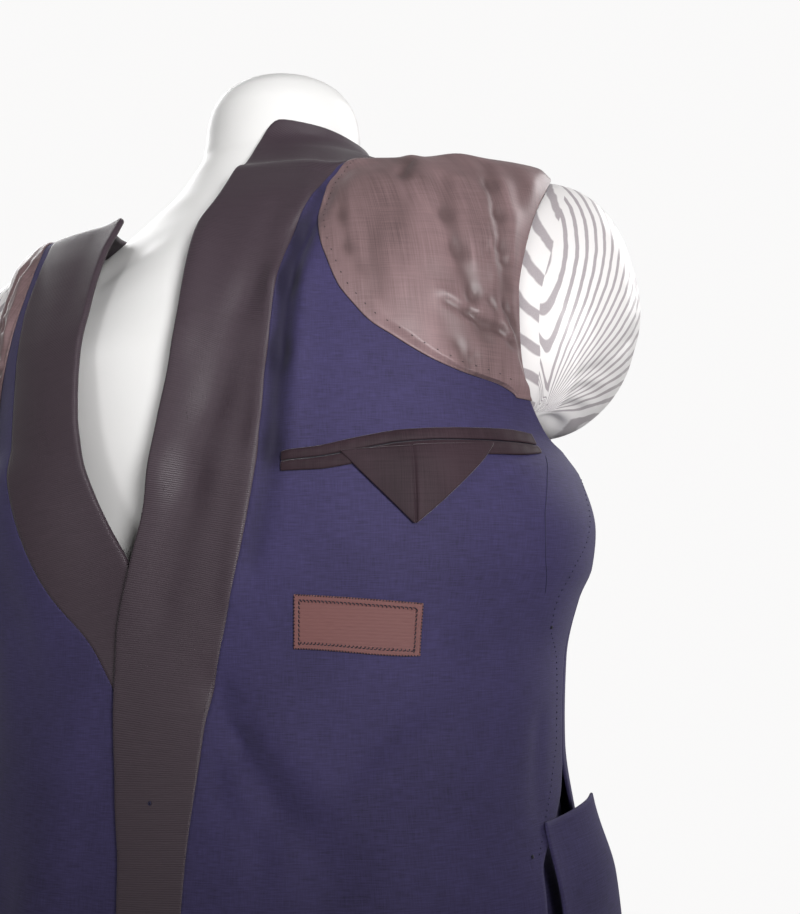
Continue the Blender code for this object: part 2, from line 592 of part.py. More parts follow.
def shawl_faces(side, flat, turn):
    """Both faces of the shawl, each a section from the facing seam over the fold to the leaf's edge."""
    half = 0.5 * FACING
    drop = FACING + GAP + 0.0003
    first = np.array(BACK_PHI)
    row_v = back_nodes(side)[1]
    faces = ([], [])
    for seam_phi, seam_v, fold_phi, fold_v, width in shawl_stations(side):
        t = span(0, 1, flat)
        phi = seam_phi + (fold_phi - seam_phi) * t
        v = seam_v + (fold_v - seam_v) * t
        band = [skin(mirror(phi, side), v, out - sink(phi, v, side)) for out in (FACING, 0.0)]
        middle = 0.5 * (band[0] + band[1])
        end_n = skin_normal(mirror(fold_phi, side), fold_v)
        fwd = middle[-1] - middle[-2]
        fwd = fwd - end_n * np.dot(fwd, end_n)
        fwd = fwd / np.linalg.norm(fwd)
        centre = middle[-1] - end_n * drop * 0.5
        total = np.linalg.norm(np.diff(middle, axis=0), axis=1).sum()
        ratio = width / total
        if seam_phi > -0.5:
            knots = np.array([0.0, 0.5, 1.0, 1.5, 2.0])
            far_v = row_v[1][int(np.argmin(np.abs(first - seam_phi)))]
            phi = np.interp(knots, [0, 1, 2], [fold_phi, seam_phi, seam_phi])
            v = np.interp(knots, [0, 1, 2], [fold_v, seam_v, far_v])
        else:
            knots = ratio * span(0, 1, 5) if ratio < 1.1 else np.array([0, 0.5, 1, 0.5 + ratio / 2, ratio])
            phi = fold_phi + (seam_phi - fold_phi) * knots
            v = np.clip(fold_v + (seam_v - fold_v) * knots, SKIN[0][0], SKIN[-1][0])
        lower = float(smooth((seam_v - 0.05) / 0.10) * smooth((0.42 - seam_v) / 0.10))
        deep = (0.0010 + 0.0020 * lower) * smooth(knots * 1.5)
        low = half - sink(phi, v, side) - drop - deep
        for k, out in enumerate((half, -half)):
            arc = [centre + (drop * 0.5 + out) * (fwd * math.sin(a) + end_n * math.cos(a))
                   for a in span(0, math.pi, turn)[1:-1]]
            under = skin(mirror(phi, side), v, low - out)
            faces[k].append(np.concatenate([band[k], np.array(arc), under]))
    return np.array(faces[0]), np.array(faces[1])


def make_shawl(name, side, mat):
    outer, inner = shawl_faces(side, 5, 4)
    return wall_between(name, inner, outer, mat)


# ---------------------------------------------------------------- shoulder lining
def make_lining_front(name, side, mat):
    rows = front_rows(side)
    keep = rows < LINING_END + 1e-6
    low = front_grid(side, SHELL + GAP)[keep, :6]
    high = front_grid(side, SHELL + GAP + LINING)[keep, :6]
    return wall_between(name, low[1:], high[1:], mat)


def make_lining_back(name, side, mat):
    phi, v = back_nodes(side)
    keep = v[:, 0] < LINING_END + 1e-6
    low = back_grid(side, SHELL + GAP)[keep]
    high = back_grid(side, SHELL + GAP + LINING)[keep]
    for grid in (low, high):
        grid[0] = grid[0] + (grid[1] - grid[0]) * 0.06
    return wall_between(name, low, high, mat)


# ---------------------------------------------------------------- sleeve
def hole_nodes():
    """Path and turn number of the armhole nodes: underarm, up the front, over, down the back."""
    path = np.array(HOLE_V)
    z = column(SKIN, 1, path)
    turn = np.arccos(np.clip((ARM_Z - z) / ARM_HALF_H, -1, 1)) / (2 * math.pi)
    turn[-1] = 0.0
    turn[0] = 0.5 * (turn[1] + 0.5)
    front = [(path[k], turn[k], True) for k in range(len(path) - 1, -1, -1)]
    back = [(path[k], 1 - turn[k], False) for k in range(len(path) - 1)]
    return front + back


def rim_point(v, s, front, side):
    """Rim of the sleeve, just inside the armhole."""
    phi = float(edge(v, front)) if 0 < s else float(column(EDGE_FRONT, 1, v)) + 0.15
    p = skin(mirror(phi, side), v)
    a = 2 * math.pi * s
    towards = np.array([0.0, math.sin(a), math.cos(a)])
    low = float(smooth((0.27 - abs(s - round(s))) * 8.0))
    out = 0.0008 * (1 - low) - 0.0052 * low
    return p + 0.0030 * towards + np.array([side * out, 0, 0])


MOUTH = [
    # turn number from the underarm, x in front, x behind, distance in y from the centre, height
    (0.000, 0.1945, 0.1945, 0.0000, 0.5765),
    (0.071, 0.1905, 0.1870, 0.0255, 0.5800),
    (0.096, 0.1850, 0.1805, 0.0320, 0.5850),
    (0.127, 0.1795, 0.1745, 0.0355, 0.5915),
    (0.164, 0.1760, 0.1690, 0.0370, 0.5960),
    (0.204, 0.1745, 0.1680, 0.0370, 0.5970),
    (0.247, 0.1735, 0.1685, 0.0350, 0.5965),
    (0.290, 0.1730, 0.1695, 0.0315, 0.5950),
    (0.335, 0.1725, 0.1705, 0.0250, 0.5930),
    (0.385, 0.1720, 0.1712, 0.0165, 0.5910),
    (0.500, 0.1715, 0.1715, 0.0000, 0.5895),
]


def mouth_point(s, side):
    """Narrow mouth where the sleeve dips behind the side panel."""
    front = s < 0.5
    turn = s if front else 1 - s
    ahead, behind, reach, z = (float(column(MOUTH, k, turn)) for k in (1, 2, 3, 4))
    y = ARM_Y - 0.001 + (-reach if front else reach * 1.06)
    return np.array([side * (ahead if front else behind), y, z])


def tube_point(s, row, side):
    """Flattened sleeve hanging between the form and the side panel."""
    z, half_deg, deep, middle = row
    a = 2 * math.pi * s
    phi = 3.0 - half_deg * math.sin(a)
    depth = middle - deep * math.cos(a) * (1 - 0.35 * abs(math.sin(a)) ** 6)
    return skin(mirror(phi, side), float(v_of_z(z)), -depth)


TUBE = [
    # height, half width in degrees, half thickness, depth below the skin
    (0.5620, 13.0, 0.0100, 0.0170),
    (0.5380, 20.0, 0.0085, 0.0210),
    (0.5150, 25.0, 0.0085, 0.0200),
    (0.4450, 26.0, 0.0080, 0.0175),
    (0.3650, 25.0, 0.0075, 0.0165),
    (0.2750, 21.0, 0.0080, 0.0175),
    (0.2000, 19.0, 0.0080, 0.0175),
    (CUFF_Z, 18.5, 0.0080, 0.0175),
]


def dome_point(p, s, t, side):
    """Bulge of the sleeve top over the form's shoulder stub, from rim point p to the mouth."""
    q = mouth_point(s, side)
    k = 0.5 * (1 - math.cos(2 * math.pi * s))
    up = k ** 0.78 * float(smooth((k - 0.10) / 0.25))
    side_y = -math.sin(2 * math.pi * s)
    c1 = p + np.array([side * 0.084 * up, 0.004 * side_y * up, -0.016 * k])
    c2 = q + np.array([side * 0.102 * up, 0.020 * side_y * up, -0.014 * up])
    a = (1 - t) ** 3
    b = 3 * t * (1 - t) ** 2
    c = 3 * t * t * (1 - t)
    d = t ** 3
    return a * p + b * c1 + c * c2 + d * q


def sleeve_grid(side, over, tube_rows):
    nodes = hole_nodes()
    rims = [rim_point(v, s, front, side) for v, s, front in nodes]
    rows = [[dome_point(p, n[1], t, side) for p, n in zip(rims, nodes)] for t in span(0, 1, over)]
    for row in TUBE[:tube_rows]:
        rows.append([tube_point(n[1], row, side) for n in nodes])
    return np.array(rows)


def around_normals(grid, side):
    """Vertex normals of a grid that is closed around, pointing to the lined side of a sleeve."""
    p = np.concatenate([grid, grid[:, :1]], 1)
    one = np.cross(p[:-1, 1:] - p[:-1, :-1], p[1:, 1:] - p[:-1, :-1])
    two = np.cross(p[1:, 1:] - p[:-1, :-1], p[1:, :-1] - p[:-1, :-1])
    n = np.zeros_like(grid)
    for face, corners in ((one, ((0, 0), (0, 1), (1, 1))), (two, ((0, 0), (1, 1), (1, 0)))):
        unit = face / (np.linalg.norm(face, axis=-1, keepdims=True) + 1e-12)
        for di, dj in corners:
            n[di:di + unit.shape[0]] += np.roll(unit, dj, 1)
    n = n / np.linalg.norm(n, axis=-1, keepdims=True)
    return -n * side


def make_sleeve(name, side, mat):
    grid = sleeve_grid(side, 7, len(TUBE))
    n = around_normals(grid, side)
    return wall_between(name, grid - n * (SLEEVE + 0.5 * LOOSE), grid - n * 0.5 * LOOSE, mat, True)


def make_sleeve_lining(name, side, mat):
    grid = sleeve_grid(side, 7, len(TUBE))
    n = around_normals(grid, side)
    low = (grid + n * 0.5 * LOOSE)[:8]
    high = (grid + n * (LINING + 0.5 * LOOSE))[:8]
    return wall_between(name, low, high, mat, True)


# ---------------------------------------------------------------- pocket, label, vents, button
def strip_on_front(phi, z_top, z_bottom, rows, out):
    t = span(0, 1, rows)[:, None]
    z = z_top[None, :] + (z_bottom - z_top)[None, :] * t
    return on_front(phi[None, :] + 0 * z, v_of_z(z), out)


def make_jet(name, upper, mat):
    rows = stations(POCKET_JETS, 15)
    top = rows[:, 1] if upper else rows[:, 3]
    bottom = rows[:, 2] if upper else rows[:, 4]
    grid = strip_on_front(rows[:, 0], top, bottom, 2, SHELL + GAP + 0.0004)
    return wall(name, grid, 0.0012, mat, 1.0, flip=True)


def make_tab(name, mat):
    t = span(0, 1, 7)[:, None]
    u = span(0, 1, 9)[None, :]
    left = TAB_LEFT[0] + (TAB_TIP[0] - 0.5 - TAB_LEFT[0]) * t
    right = TAB_RIGHT[0] + (TAB_TIP[0] + 0.5 - TAB_RIGHT[0]) * t
    phi = left + (right - left) * u
    top = TAB_LEFT[1] + (TAB_RIGHT[1] - TAB_LEFT[1]) * (phi - TAB_LEFT[0]) / (TAB_RIGHT[0] - TAB_LEFT[0])
    z = top + (TAB_TIP[1] - top) * t
    out = SHELL + GAP + 0.0016 + GAP
    grid = on_front(phi, v_of_z(z), out)
    return wall(name, grid, 0.0012, mat, 1.0, flip=True)


def make_label(name, mat):
    phi = span(LABEL_LEFT, LABEL_RIGHT, 8)
    top = span(LABEL_TOP[0], LABEL_TOP[1], 8)
    bottom = span(LABEL_BOTTOM[0], LABEL_BOTTOM[1], 8)
    grid = strip_on_front(phi, top, bottom, 4, SHELL + GAP + 0.0003)
    return wall(name, grid, LINING, mat, 1.0, flip=True)


def vent_lap_grid(side, rows, cols):
    """Lap of a side vent: sewn along the front, standing off the back panel at its free edge."""
    u = span(0, 1, cols)[None, :]
    w = span(0, 1, rows)[:, None]
    top = v_of_z(0.3450) - 0.0060 * smooth(u)
    v = top + (0.832 - top) * w
    phi = -15.5 + (26.0 - 8.0 * smooth((0.66 - v) * 12)) * u
    off = 0.0135 * smooth(u * 1.15) * (0.45 + 0.55 * np.exp(-((v - 0.60) / 0.10) ** 2))
    return skin(mirror(phi, side), v, SHELL + GAP - 0.0004 + off)


def make_vent_lap(name, side, mat):
    return wall(name, vent_lap_grid(side, 9, 8), SHELL, mat, 1.0, flip=side > 0)


def make_button(name, mat):
    """Flat button on the form side of the under front, its shank through the buttonhole."""
    phi = -97.5
    v = float(v_of_z(BUTTON_Z))
    n = skin_normal(phi, v)
    head = skin(phi, v, -0.0118)
    foot = skin(phi, v, -0.0028)
    bm = bmesh.new()
    profile = [(0.0, 0.0), (0.0086, 0.0), (BUTTON_R, 0.0008), (BUTTON_R, 0.0026), (0.0090, 0.0032),
               (0.0016, 0.0032), (0.0014, float(np.linalg.norm(foot - head)))]
    z_axis = n
    x_axis = np.cross([0, 0, 1.0], z_axis)
    x_axis = x_axis / np.linalg.norm(x_axis)
    y_axis = np.cross(z_axis, x_axis)
    verts = [bm.verts.new(head + x_axis * r + z_axis * h) for r, h in profile]
    verts.append(bm.verts.new(foot))
    edges = [bm.edges.new((verts[k], verts[k + 1])) for k in range(len(verts) - 1)]
    bmesh.ops.spin(bm, geom=verts + edges, cent=head, axis=z_axis, angle=2 * math.pi, steps=20,
                   use_merge=True)
    bmesh.ops.remove_doubles(bm, verts=bm.verts, dist=1e-5)
    bmesh.ops.recalc_face_normals(bm, faces=bm.faces)
    return place(name, bm, mat)


def cut_buttonhole(shawl, name):
    """Buttonhole of the under front, cut by a slim upright block."""
    phi = -97.5
    v = float(v_of_z(BUTTON_Z))
    n = skin_normal(phi, v)
    centre = skin(phi, v, -0.0050)
    bm = bmesh.new()
    bmesh.ops.create_cube(bm, size=1.0)
    along = np.cross([0, 0, 1.0], n)
    along = along / np.linalg.norm(along)
    up = np.cross(n, along)
    for vert in bm.verts:
        x, y, z = vert.co
        vert.co = centre + along * x * 0.012 + up * y * 0.0042 + n * z * 0.0100
    bmesh.ops.recalc_face_normals(bm, faces=bm.faces)
    cutter = place(name, bm, bpy.data.materials["Ribbed facing"])
    cutter.hide_render = True
    cutter.display_type = "WIRE"
    cut = shawl.modifiers.new("Buttonhole", "BOOLEAN")
    cut.operation = "DIFFERENCE"
    cut.object = cutter
    cut.solver = "EXACT"
    return cutter


# ---------------------------------------------------------------- build
def main():
    for obj in list(bpy.data.objects):
        bpy.data.objects.remove(obj, do_unlink=True)
    wool = material("Wool mohair", WOOL, 0.75)
    ribbed = material("Ribbed facing", RIBBED, 0.6)
    satin = material("Satin lining", SATIN, 0.35)
    striped = material("Striped sleeve lining", STRIPE, 0.5)
    white = material("Form white", WHITE, 0.45)
    woven = material("Woven label", WOVEN, 0.7)
    horn = material("Button", HORN, 0.3)
    make_form(white)
    for side, tag in ((1, "r"), (-1, "l")):
        make_front("front_" + tag, side, wool)
        make_back("back_" + tag, side, wool)
        shawl = make_shawl("shawl_" + tag, side, ribbed)
        if side < 0:
            cut_buttonhole(shawl, "buttonhole_cutter")
        make_lining_front("shoulder_lining_front_" + tag, side, satin)
        make_lining_back("shoulder_lining_back_" + tag, side, satin)
        make_sleeve("sleeve_" + tag, side, wool)
        make_sleeve_lining("sleeve_lining_" + tag, side, striped)
        make_vent_lap("vent_lap_" + tag, side, wool)
    make_jet("pocket_jet_upper", True, satin)
    make_jet("pocket_jet_lower", False, satin)
    make_tab("pocket_tab", satin)
    make_label("label", woven)
    make_button("button", horn)


main()
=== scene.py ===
"""Looks of a dinner jacket worn inside out on a limbless white dress form.

Metres, +Z up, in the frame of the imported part. Every cloth piece lies on one garment skin, as in
the part's source: phi is the angle round the body (0 = +X side, -90 = front, 90 = back) and v the
path down the side from the neck point. Angles of the -X half are written as their mirror on the
+X half. Each piece here is the dense, creased and finished form of one solid of the part.
"""

import math

import bpy
import numpy as np
from mathutils import Matrix, Vector


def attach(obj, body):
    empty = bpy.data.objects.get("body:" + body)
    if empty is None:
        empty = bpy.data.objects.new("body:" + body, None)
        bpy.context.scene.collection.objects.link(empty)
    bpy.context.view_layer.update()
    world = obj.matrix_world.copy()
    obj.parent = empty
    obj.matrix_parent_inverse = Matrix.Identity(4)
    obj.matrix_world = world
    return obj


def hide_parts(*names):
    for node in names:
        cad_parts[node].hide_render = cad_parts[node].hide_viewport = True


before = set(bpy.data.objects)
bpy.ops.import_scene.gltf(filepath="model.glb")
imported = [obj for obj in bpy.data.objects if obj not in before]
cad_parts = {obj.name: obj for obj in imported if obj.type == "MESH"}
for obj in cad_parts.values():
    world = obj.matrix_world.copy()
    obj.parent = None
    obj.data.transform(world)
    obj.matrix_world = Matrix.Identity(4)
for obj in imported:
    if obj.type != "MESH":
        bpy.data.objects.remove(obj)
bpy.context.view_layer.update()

# ---------------------------------------------------------------- camera (the photograph's)
IMAGE_HEIGHT = 914        # the picture's longer side, in pixels
FOCAL_PX = 1190.0
CAMERA_AT = (0.318, -0.790, 0.489)
CAMERA_TURN = 16.0        # degrees to the -X side of +Y
CAMERA_LIFT = 6.2         # degrees above the horizon
CAMERA_ROLL = -0.7        # degrees
SENSOR = 36.0             # millimetres

# ---------------------------------------------------------------- colours (linear)
# the dark ends of the wool and the satin are also where their painted shade in troughs leads
WOOL_DARK = (0.0085, 0.0064, 0.0170)
WOOL_LIGHT = (0.0465, 0.0372, 0.1120)
WOOL_FLOOR = 0.30         # least tone of flat wool between dark and light
RIB_DARK = (0.0270, 0.0170, 0.0232)
RIB_LIGHT = (0.0600, 0.0405, 0.0530)
SATIN_DARK = (0.0720, 0.0455, 0.0460)
SATIN_LIGHT = (0.2750, 0.1780, 0.1850)
POCKET_DARK = (0.0150, 0.0080, 0.0110)
POCKET_LIGHT = (0.0500, 0.0300, 0.0380)
STRIPE_WHITE = (0.800, 0.775, 0.770)
STRIPE_GREY = (0.330, 0.290, 0.310)
FORM_DARK = (0.760, 0.750, 0.738)
FORM_LIGHT = (0.820, 0.815, 0.810)
LABEL_DARK = (0.115, 0.043, 0.042)
LABEL_LIGHT = (0.205, 0.088, 0.083)
NAVY_THREAD = ((0.008, 0.007, 0.028), (0.020, 0.018, 0.058))
BROWN_THREAD = ((0.030, 0.022, 0.025), (0.070, 0.052, 0.056))
# the dark thread is also the colour of the painted shade in the pocket's slit
DARK_THREAD_AND_SHADE = ((0.004, 0.004, 0.010), (0.010, 0.009, 0.022))
HORN = ((0.012, 0.010, 0.012), (0.032, 0.028, 0.032))
FLOOR_DARK = (0.920, 0.915, 0.910)
FLOOR_LIGHT = (0.940, 0.937, 0.934)
WOOL_PITCH = 0.00075      # metres from thread to thread of the plain weave
RIB_PITCH = 0.00125       # metres from rib to rib of the facing
LABEL_PITCH = 0.0008      # metres from row to row of the label

# ---------------------------------------------------------------- studio (metres, watts)
PAPER = (0.955, 0.950, 0.948, 1.0)
SKY_COLOUR = (1.0, 0.992, 0.985, 1.0)
SKY_LOW = 0.055           # strength of the light from below
SKY_HIGH = 0.18           # strength of the light from above
SKY_FROM = -0.15          # slope of the view where the light starts to grow
SKY_TO = 0.55             # slope where it is full
FLOOR_REACH = 0.95        # radius of the floor
FLOOR_CORNERS = 96
# name, place, aim, size, power, width of the beam in degrees
LIGHTS = [
    ("key", (1.10, -1.50, 0.75), (0.06, -0.10, 0.71), 0.5, 1.8, 35.0),
    ("fill", (-0.80, -1.80, 0.95), (0.0, -0.10, 0.72), 0.8, 0.5, 40.0),
    ("rear_0", (1.25, 1.35, 1.55), (0.0, 0.10, 0.45), 1.3, 19.0, 150.0),
    ("rear_1", (-1.25, 1.35, 1.55), (0.0, 0.10, 0.45), 1.3, 19.0, 150.0),
]

# ---------------------------------------------------------------- sizes (metres, degrees of phi)
SHELL = 0.0020            # wool wall of fronts, backs and vent laps
FACING = 0.0020           # ribbed shawl wall
LINING = 0.0010           # satin and striped lining walls
SLEEVE = 0.0015           # wool sleeve wall
GAP = 0.0003              # air between two pieces that are sewn together
SHOULDER_V = 0.135        # path from neck point to shoulder point
SHOULDER_Z = 0.769        # height of the shoulder point
SHOULDER_BEND = 0.005     # extra path round the shoulder point
HEM_V = 0.832             # path from neck point to the hem of the panels
UNDERARM_V = 0.331        # path from neck point to underarm
ARM_Y = 0.010             # centre of the armhole, front to back
ARM_Z = 0.6735            # centre of the armhole, up and down
ARM_HALF_H = 0.0955       # half height of the armhole
ARM_FRONT = 0.0700        # reach of the armhole towards the front
ARM_BACK = 0.0700         # reach of the armhole towards the back
CUFF_Z = 0.140            # height of the hanging sleeve's cuff
BUTTON_Z = 0.370          # height of the button
BUTTON_PHI = -97.5        # its angle round the body
HOLE_HALF = (0.0060, 0.0021, 0.0050)  # half length, height and depth of the buttonhole
SETTLE = 0.0020           # the skin table is measured over the cloth, this far out of its inner face
FAR_DROP = 0.027          # how much lower the -X shoulder sits
UNDER_SINK = 0.0056       # how far the under front lies below the upper one
LOOSE = 0.0012            # air between a sleeve and its lining
LEAF_GAP = 0.0006         # air between the shawl's band and its leaf at the fold
SEAM_DEG = 0.08           # half of the gap of a vertical seam, in degrees of phi
BACK_PHI = 89.75          # angle at which the halves of the back and the shawl end
TOP_V = {1: 0.0165, -1: 0.1015}  # path of the first row of each front
TAG = {1: "r", -1: "l"}   # ending of the names on each side
LINING_END = 0.304        # path of the lowest row of the shoulder lining
PULL_DEPTH = 0.00022      # small pulls of the lining at its sewn edge
PULL_PITCH = 0.0062       # path from one pull to the next
DOME_TOP = 0.084          # how far the curve of the bulge is drawn out at its rim
DOME_LOW = 0.102          # and at its mouth
RIM_PHI = 1.7             # angle of the rim where both halves of the armhole meet
RIM_SOFT = 0.012          # turns over which the rim is led to that angle
LABEL_OUT = SHELL + GAP + 0.0003      # inner face of the label over the skin
JET_OUT = SHELL + GAP + 0.0004        # of a pocket jet
TAB_OUT = SHELL + GAP + 0.0016 + GAP  # of the pocket tab, which lies over the jets
JET_WALL = 0.0010         # thickness of a jet at its edges
TAB_WALL = 0.0011         # thickness of the tab at its edges
SLIT_UNDER = 0.0006       # how far the dark strip of painted shade in the pocket's opening reaches under the jets
VALLEY_FULL = 0.0045      # depth of the valley at which its painted shade darkens the wool in full
CREASE_FULL = 0.0030      # depth of a crease at which its painted shade darkens the satin in full
LEAST_SHEET = 0.012       # narrower strips are piping and not a sheet of cloth
ROUND = 0.190             # mean radius that turns phi into a length for weaves and seams
SLEEVE_ROUND = 0.30       # flat width that the weave of a sleeve is laid on
SLEEVE_ROW = 0.004        # flat length of a row of it
FOLD_SCALE = 0.0029       # length of a degree of phi in the tables of folds

# ---------------------------------------------------------------- points and rows of the meshes
FRONT_COLS = 104          # across a front
BACK_COLS = 70            # across a back and its lining
LINING_COLS = 96          # across the lining of a front
BAND_STEPS = 26           # across the band of the shawl
TURN_STEPS = 12           # round its fold
LEAF_STEPS = 18           # across its leaf
SLEEVE_TURNS = 168        # round a sleeve
SLEEVE_OVER = 110         # rows of its bulge
SEAM_ROWS = 22            # rows of these between the armhole and the lining's own seam
TUBE_STEPS = 7            # rows between two rows of the table of the hanging sleeve
THREAD_SIDES = 6          # round a thread

# ---------------------------------------------------------------- tables
# garment skin: path v, height z, half width, depth to front, depth to back, y of centre, squareness
SKIN = [
    (-0.03, 0.832, 0.064, 0.06, 0.064, 0.012, 2.0),
    (-0.012, 0.815, 0.064, 0.059, 0.064, 0.012, 2.0),
    (0.0, 0.804, 0.066, 0.0595, 0.0655, 0.012, 2.0),
    (0.012, 0.796, 0.073, 0.063, 0.0705, 0.012, 2.0),
    (0.03, 0.79, 0.088, 0.0665, 0.075, 0.012, 2.0),
    (0.06, 0.7815, 0.1165, 0.0715, 0.08, 0.011, 2.0),
    (0.095, 0.775, 0.1505, 0.078, 0.0855, 0.011, 2.0),
    (0.12, 0.7725, 0.1785, 0.083, 0.09, 0.01, 2.05),
    (0.135, 0.769, 0.1955, 0.087, 0.093, 0.01, 2.1),
    (0.148, 0.76, 0.2045, 0.093, 0.098, 0.009, 2.15),
    (0.169, 0.74, 0.207, 0.106, 0.109, 0.007, 2.2),
    (0.209, 0.7, 0.206, 0.123, 0.127, 0.003, 2.3),
    (0.249, 0.66, 0.202, 0.134, 0.134, 0.0, 2.3),
    (0.289, 0.62, 0.199, 0.142, 0.136, 0.0, 2.3),
    (0.324, 0.585, 0.201, 0.147, 0.135, 0.0, 2.3),
    (0.349, 0.56, 0.215, 0.149, 0.132, 0.0, 2.3),
    (0.384, 0.525, 0.224, 0.148, 0.128, 0.0, 2.3),
    (0.409, 0.5, 0.221, 0.1465, 0.125, 0.0, 2.3),
    (0.429, 0.48, 0.212, 0.145, 0.122, 0.0, 2.3),
    (0.469, 0.44, 0.202, 0.143, 0.12, 0.0, 2.3),
    (0.524, 0.385, 0.1995, 0.144, 0.126, 0.0, 2.3),
    (0.564, 0.345, 0.204, 0.147, 0.134, 0.0, 2.3),
    (0.609, 0.3, 0.215, 0.15, 0.143, 0.0, 2.3),
    (0.709, 0.2, 0.224, 0.152, 0.152, 0.0, 2.3),
    (0.834, 0.075, 0.225, 0.151, 0.153, 0.0, 2.3),
]

# soft folds: phi and z of both ends, width, depth (minus = trough)
FOLDS = [
    (-20.0, 0.785, -50.0, 0.76, 0.013, -0.0025),
    (-50.0, 0.76, -63.0, 0.705, 0.013, -0.003),
    (-63.0, 0.705, -70.0, 0.64, 0.012, -0.0022),
    (-92.0, 0.69, -84.0, 0.56, 0.02, 0.002),
    (-82.0, 0.425, -57.0, 0.325, 0.016, -0.0035),
    (-38.0, 0.4, -57.0, 0.322, 0.018, -0.0035),
    (-68.0, 0.4, -50.0, 0.36, 0.02, 0.0025),
    (-81.0, 0.415, -72.0, 0.412, 0.006, 0.0015),
    (-30.0, 0.54, -20.0, 0.47, 0.016, -0.0025),
    (16.0, 0.56, 30.0, 0.455, 0.018, -0.0035),
    (34.0, 0.64, 58.0, 0.49, 0.024, -0.0035),
    (60.0, 0.7, 74.0, 0.42, 0.024, 0.003),
    (30.0, 0.33, 26.0, 0.08, 0.024, -0.006),
    (52.0, 0.33, 56.0, 0.08, 0.026, 0.005),
    (74.0, 0.33, 76.0, 0.08, 0.022, -0.004),
    (-34.0, 0.28, -30.0, 0.08, 0.026, -0.005),
    (-62.0, 0.26, -64.0, 0.08, 0.026, 0.004),
    (-150.0, 0.56, -134.0, 0.43, 0.02, -0.003),
    (-140.0, 0.3, -146.0, 0.08, 0.026, -0.005),
    (-118.0, 0.42, -128.0, 0.25, 0.02, 0.003),
    (150.0, 0.56, 136.0, 0.44, 0.02, -0.0035),
    (126.0, 0.65, 116.0, 0.47, 0.024, -0.003),
    (108.0, 0.56, 104.0, 0.4, 0.022, 0.003),
    (148.0, 0.33, 152.0, 0.08, 0.024, -0.0055),
    (128.0, 0.33, 124.0, 0.08, 0.026, 0.005),
    (104.0, 0.33, 103.0, 0.08, 0.022, -0.004),
]
# the same folds in full: what the photograph shows beyond the part's own shallow relief
FULL_FOLDS = [
    (-92.0, 0.71, -93.4, 0.64, 0.014, 0.003),
    (-93.4, 0.64, -97.5, 0.56, 0.014, 0.003),
    (-97.5, 0.56, -103.0, 0.49, 0.014, 0.002),
    (-70.0, 0.725, -76.6, 0.667, 0.012, -0.002),
    (-76.6, 0.667, -83.8, 0.6, 0.014, -0.0032),
    (-83.8, 0.6, -88.0, 0.555, 0.015, -0.0034),
    (-88.0, 0.555, -97.0, 0.485, 0.016, -0.0028),
    (-58.8, 0.74, -68.5, 0.677, 0.008, 0.0022),
    (-68.5, 0.677, -71.8, 0.58, 0.008, 0.0032),
    (-71.8, 0.58, -78.4, 0.487, 0.009, 0.0026),
    (-58.3, 0.711, -62.0, 0.677, 0.009, 0.0018),
    (-62.0, 0.677, -64.2, 0.629, 0.009, 0.0024),
    (-64.2, 0.629, -66.0, 0.57, 0.01, 0.0018),
    (-81.5, 0.4245, -76.8, 0.396, 0.009, -0.0022),
    (-76.8, 0.396, -68.9, 0.3627, 0.011, -0.0026),
    (-68.9, 0.3627, -61.9, 0.3356, 0.012, -0.0022),
    (-82.7, 0.3847, -72.2, 0.3412, 0.012, -0.0024),
    (-40.2, 0.4005, -47.9, 0.3787, 0.013, -0.002),
    (-47.9, 0.3787, -55.7, 0.3524, 0.013, -0.0026),
    (-66.0, 0.39, -58.0, 0.37, 0.015, 0.0024),
    (-78.0, 0.374, -66.0, 0.342, 0.009, 0.0018),
    (-29.0, 0.5, -30.0, 0.44, 0.016, -0.0018),
]
# the valley between the shawl's seam and the chest, in the same columns; its depth also sets the painted
# shade of the wool there
VALLEY_FOLDS = [
    (-55.0, 0.742, -62.0, 0.711, 0.0075, -0.0034),
    (-62.0, 0.711, -65.5, 0.677, 0.0075, -0.0044),
    (-65.5, 0.677, -67.6, 0.629, 0.0075, -0.0046),
    (-67.6, 0.629, -69.4, 0.57, 0.0075, -0.0042),
    (-69.4, 0.57, -73.5, 0.51, 0.008, -0.002),
]

# right front: path v, phi of its outer edge (shoulder seam, armhole, side seam, vent)
EDGE_FRONT = [
    (0.008, -0.1), (0.06, -0.1), (0.11, -0.1), (0.128, -0.15), (0.137, -0.3), (0.331, 1.6),
    (0.345, 1.6), (0.384, 2.4), (0.43, 2.0), (0.46, 0.0), (0.528, -1.0),
    (0.545, -4.5), (0.56, -9.5), (0.575, -15.0), (0.59, -18.5), (0.64, -19.5), (0.834, -19.5),
]
# right back: the same for its outer edge
EDGE_BACK = [
    (0.008, 0.1), (0.06, 0.1), (0.11, 0.1), (0.128, 0.15), (0.137, 0.3), (0.331, 1.8),
    (0.345, 1.8), (0.384, 2.7), (0.43, 2.3), (0.46, 0.3), (0.528, -0.6),
    (0.56, 1.5), (0.6, 2.0), (0.834, 2.0),
]

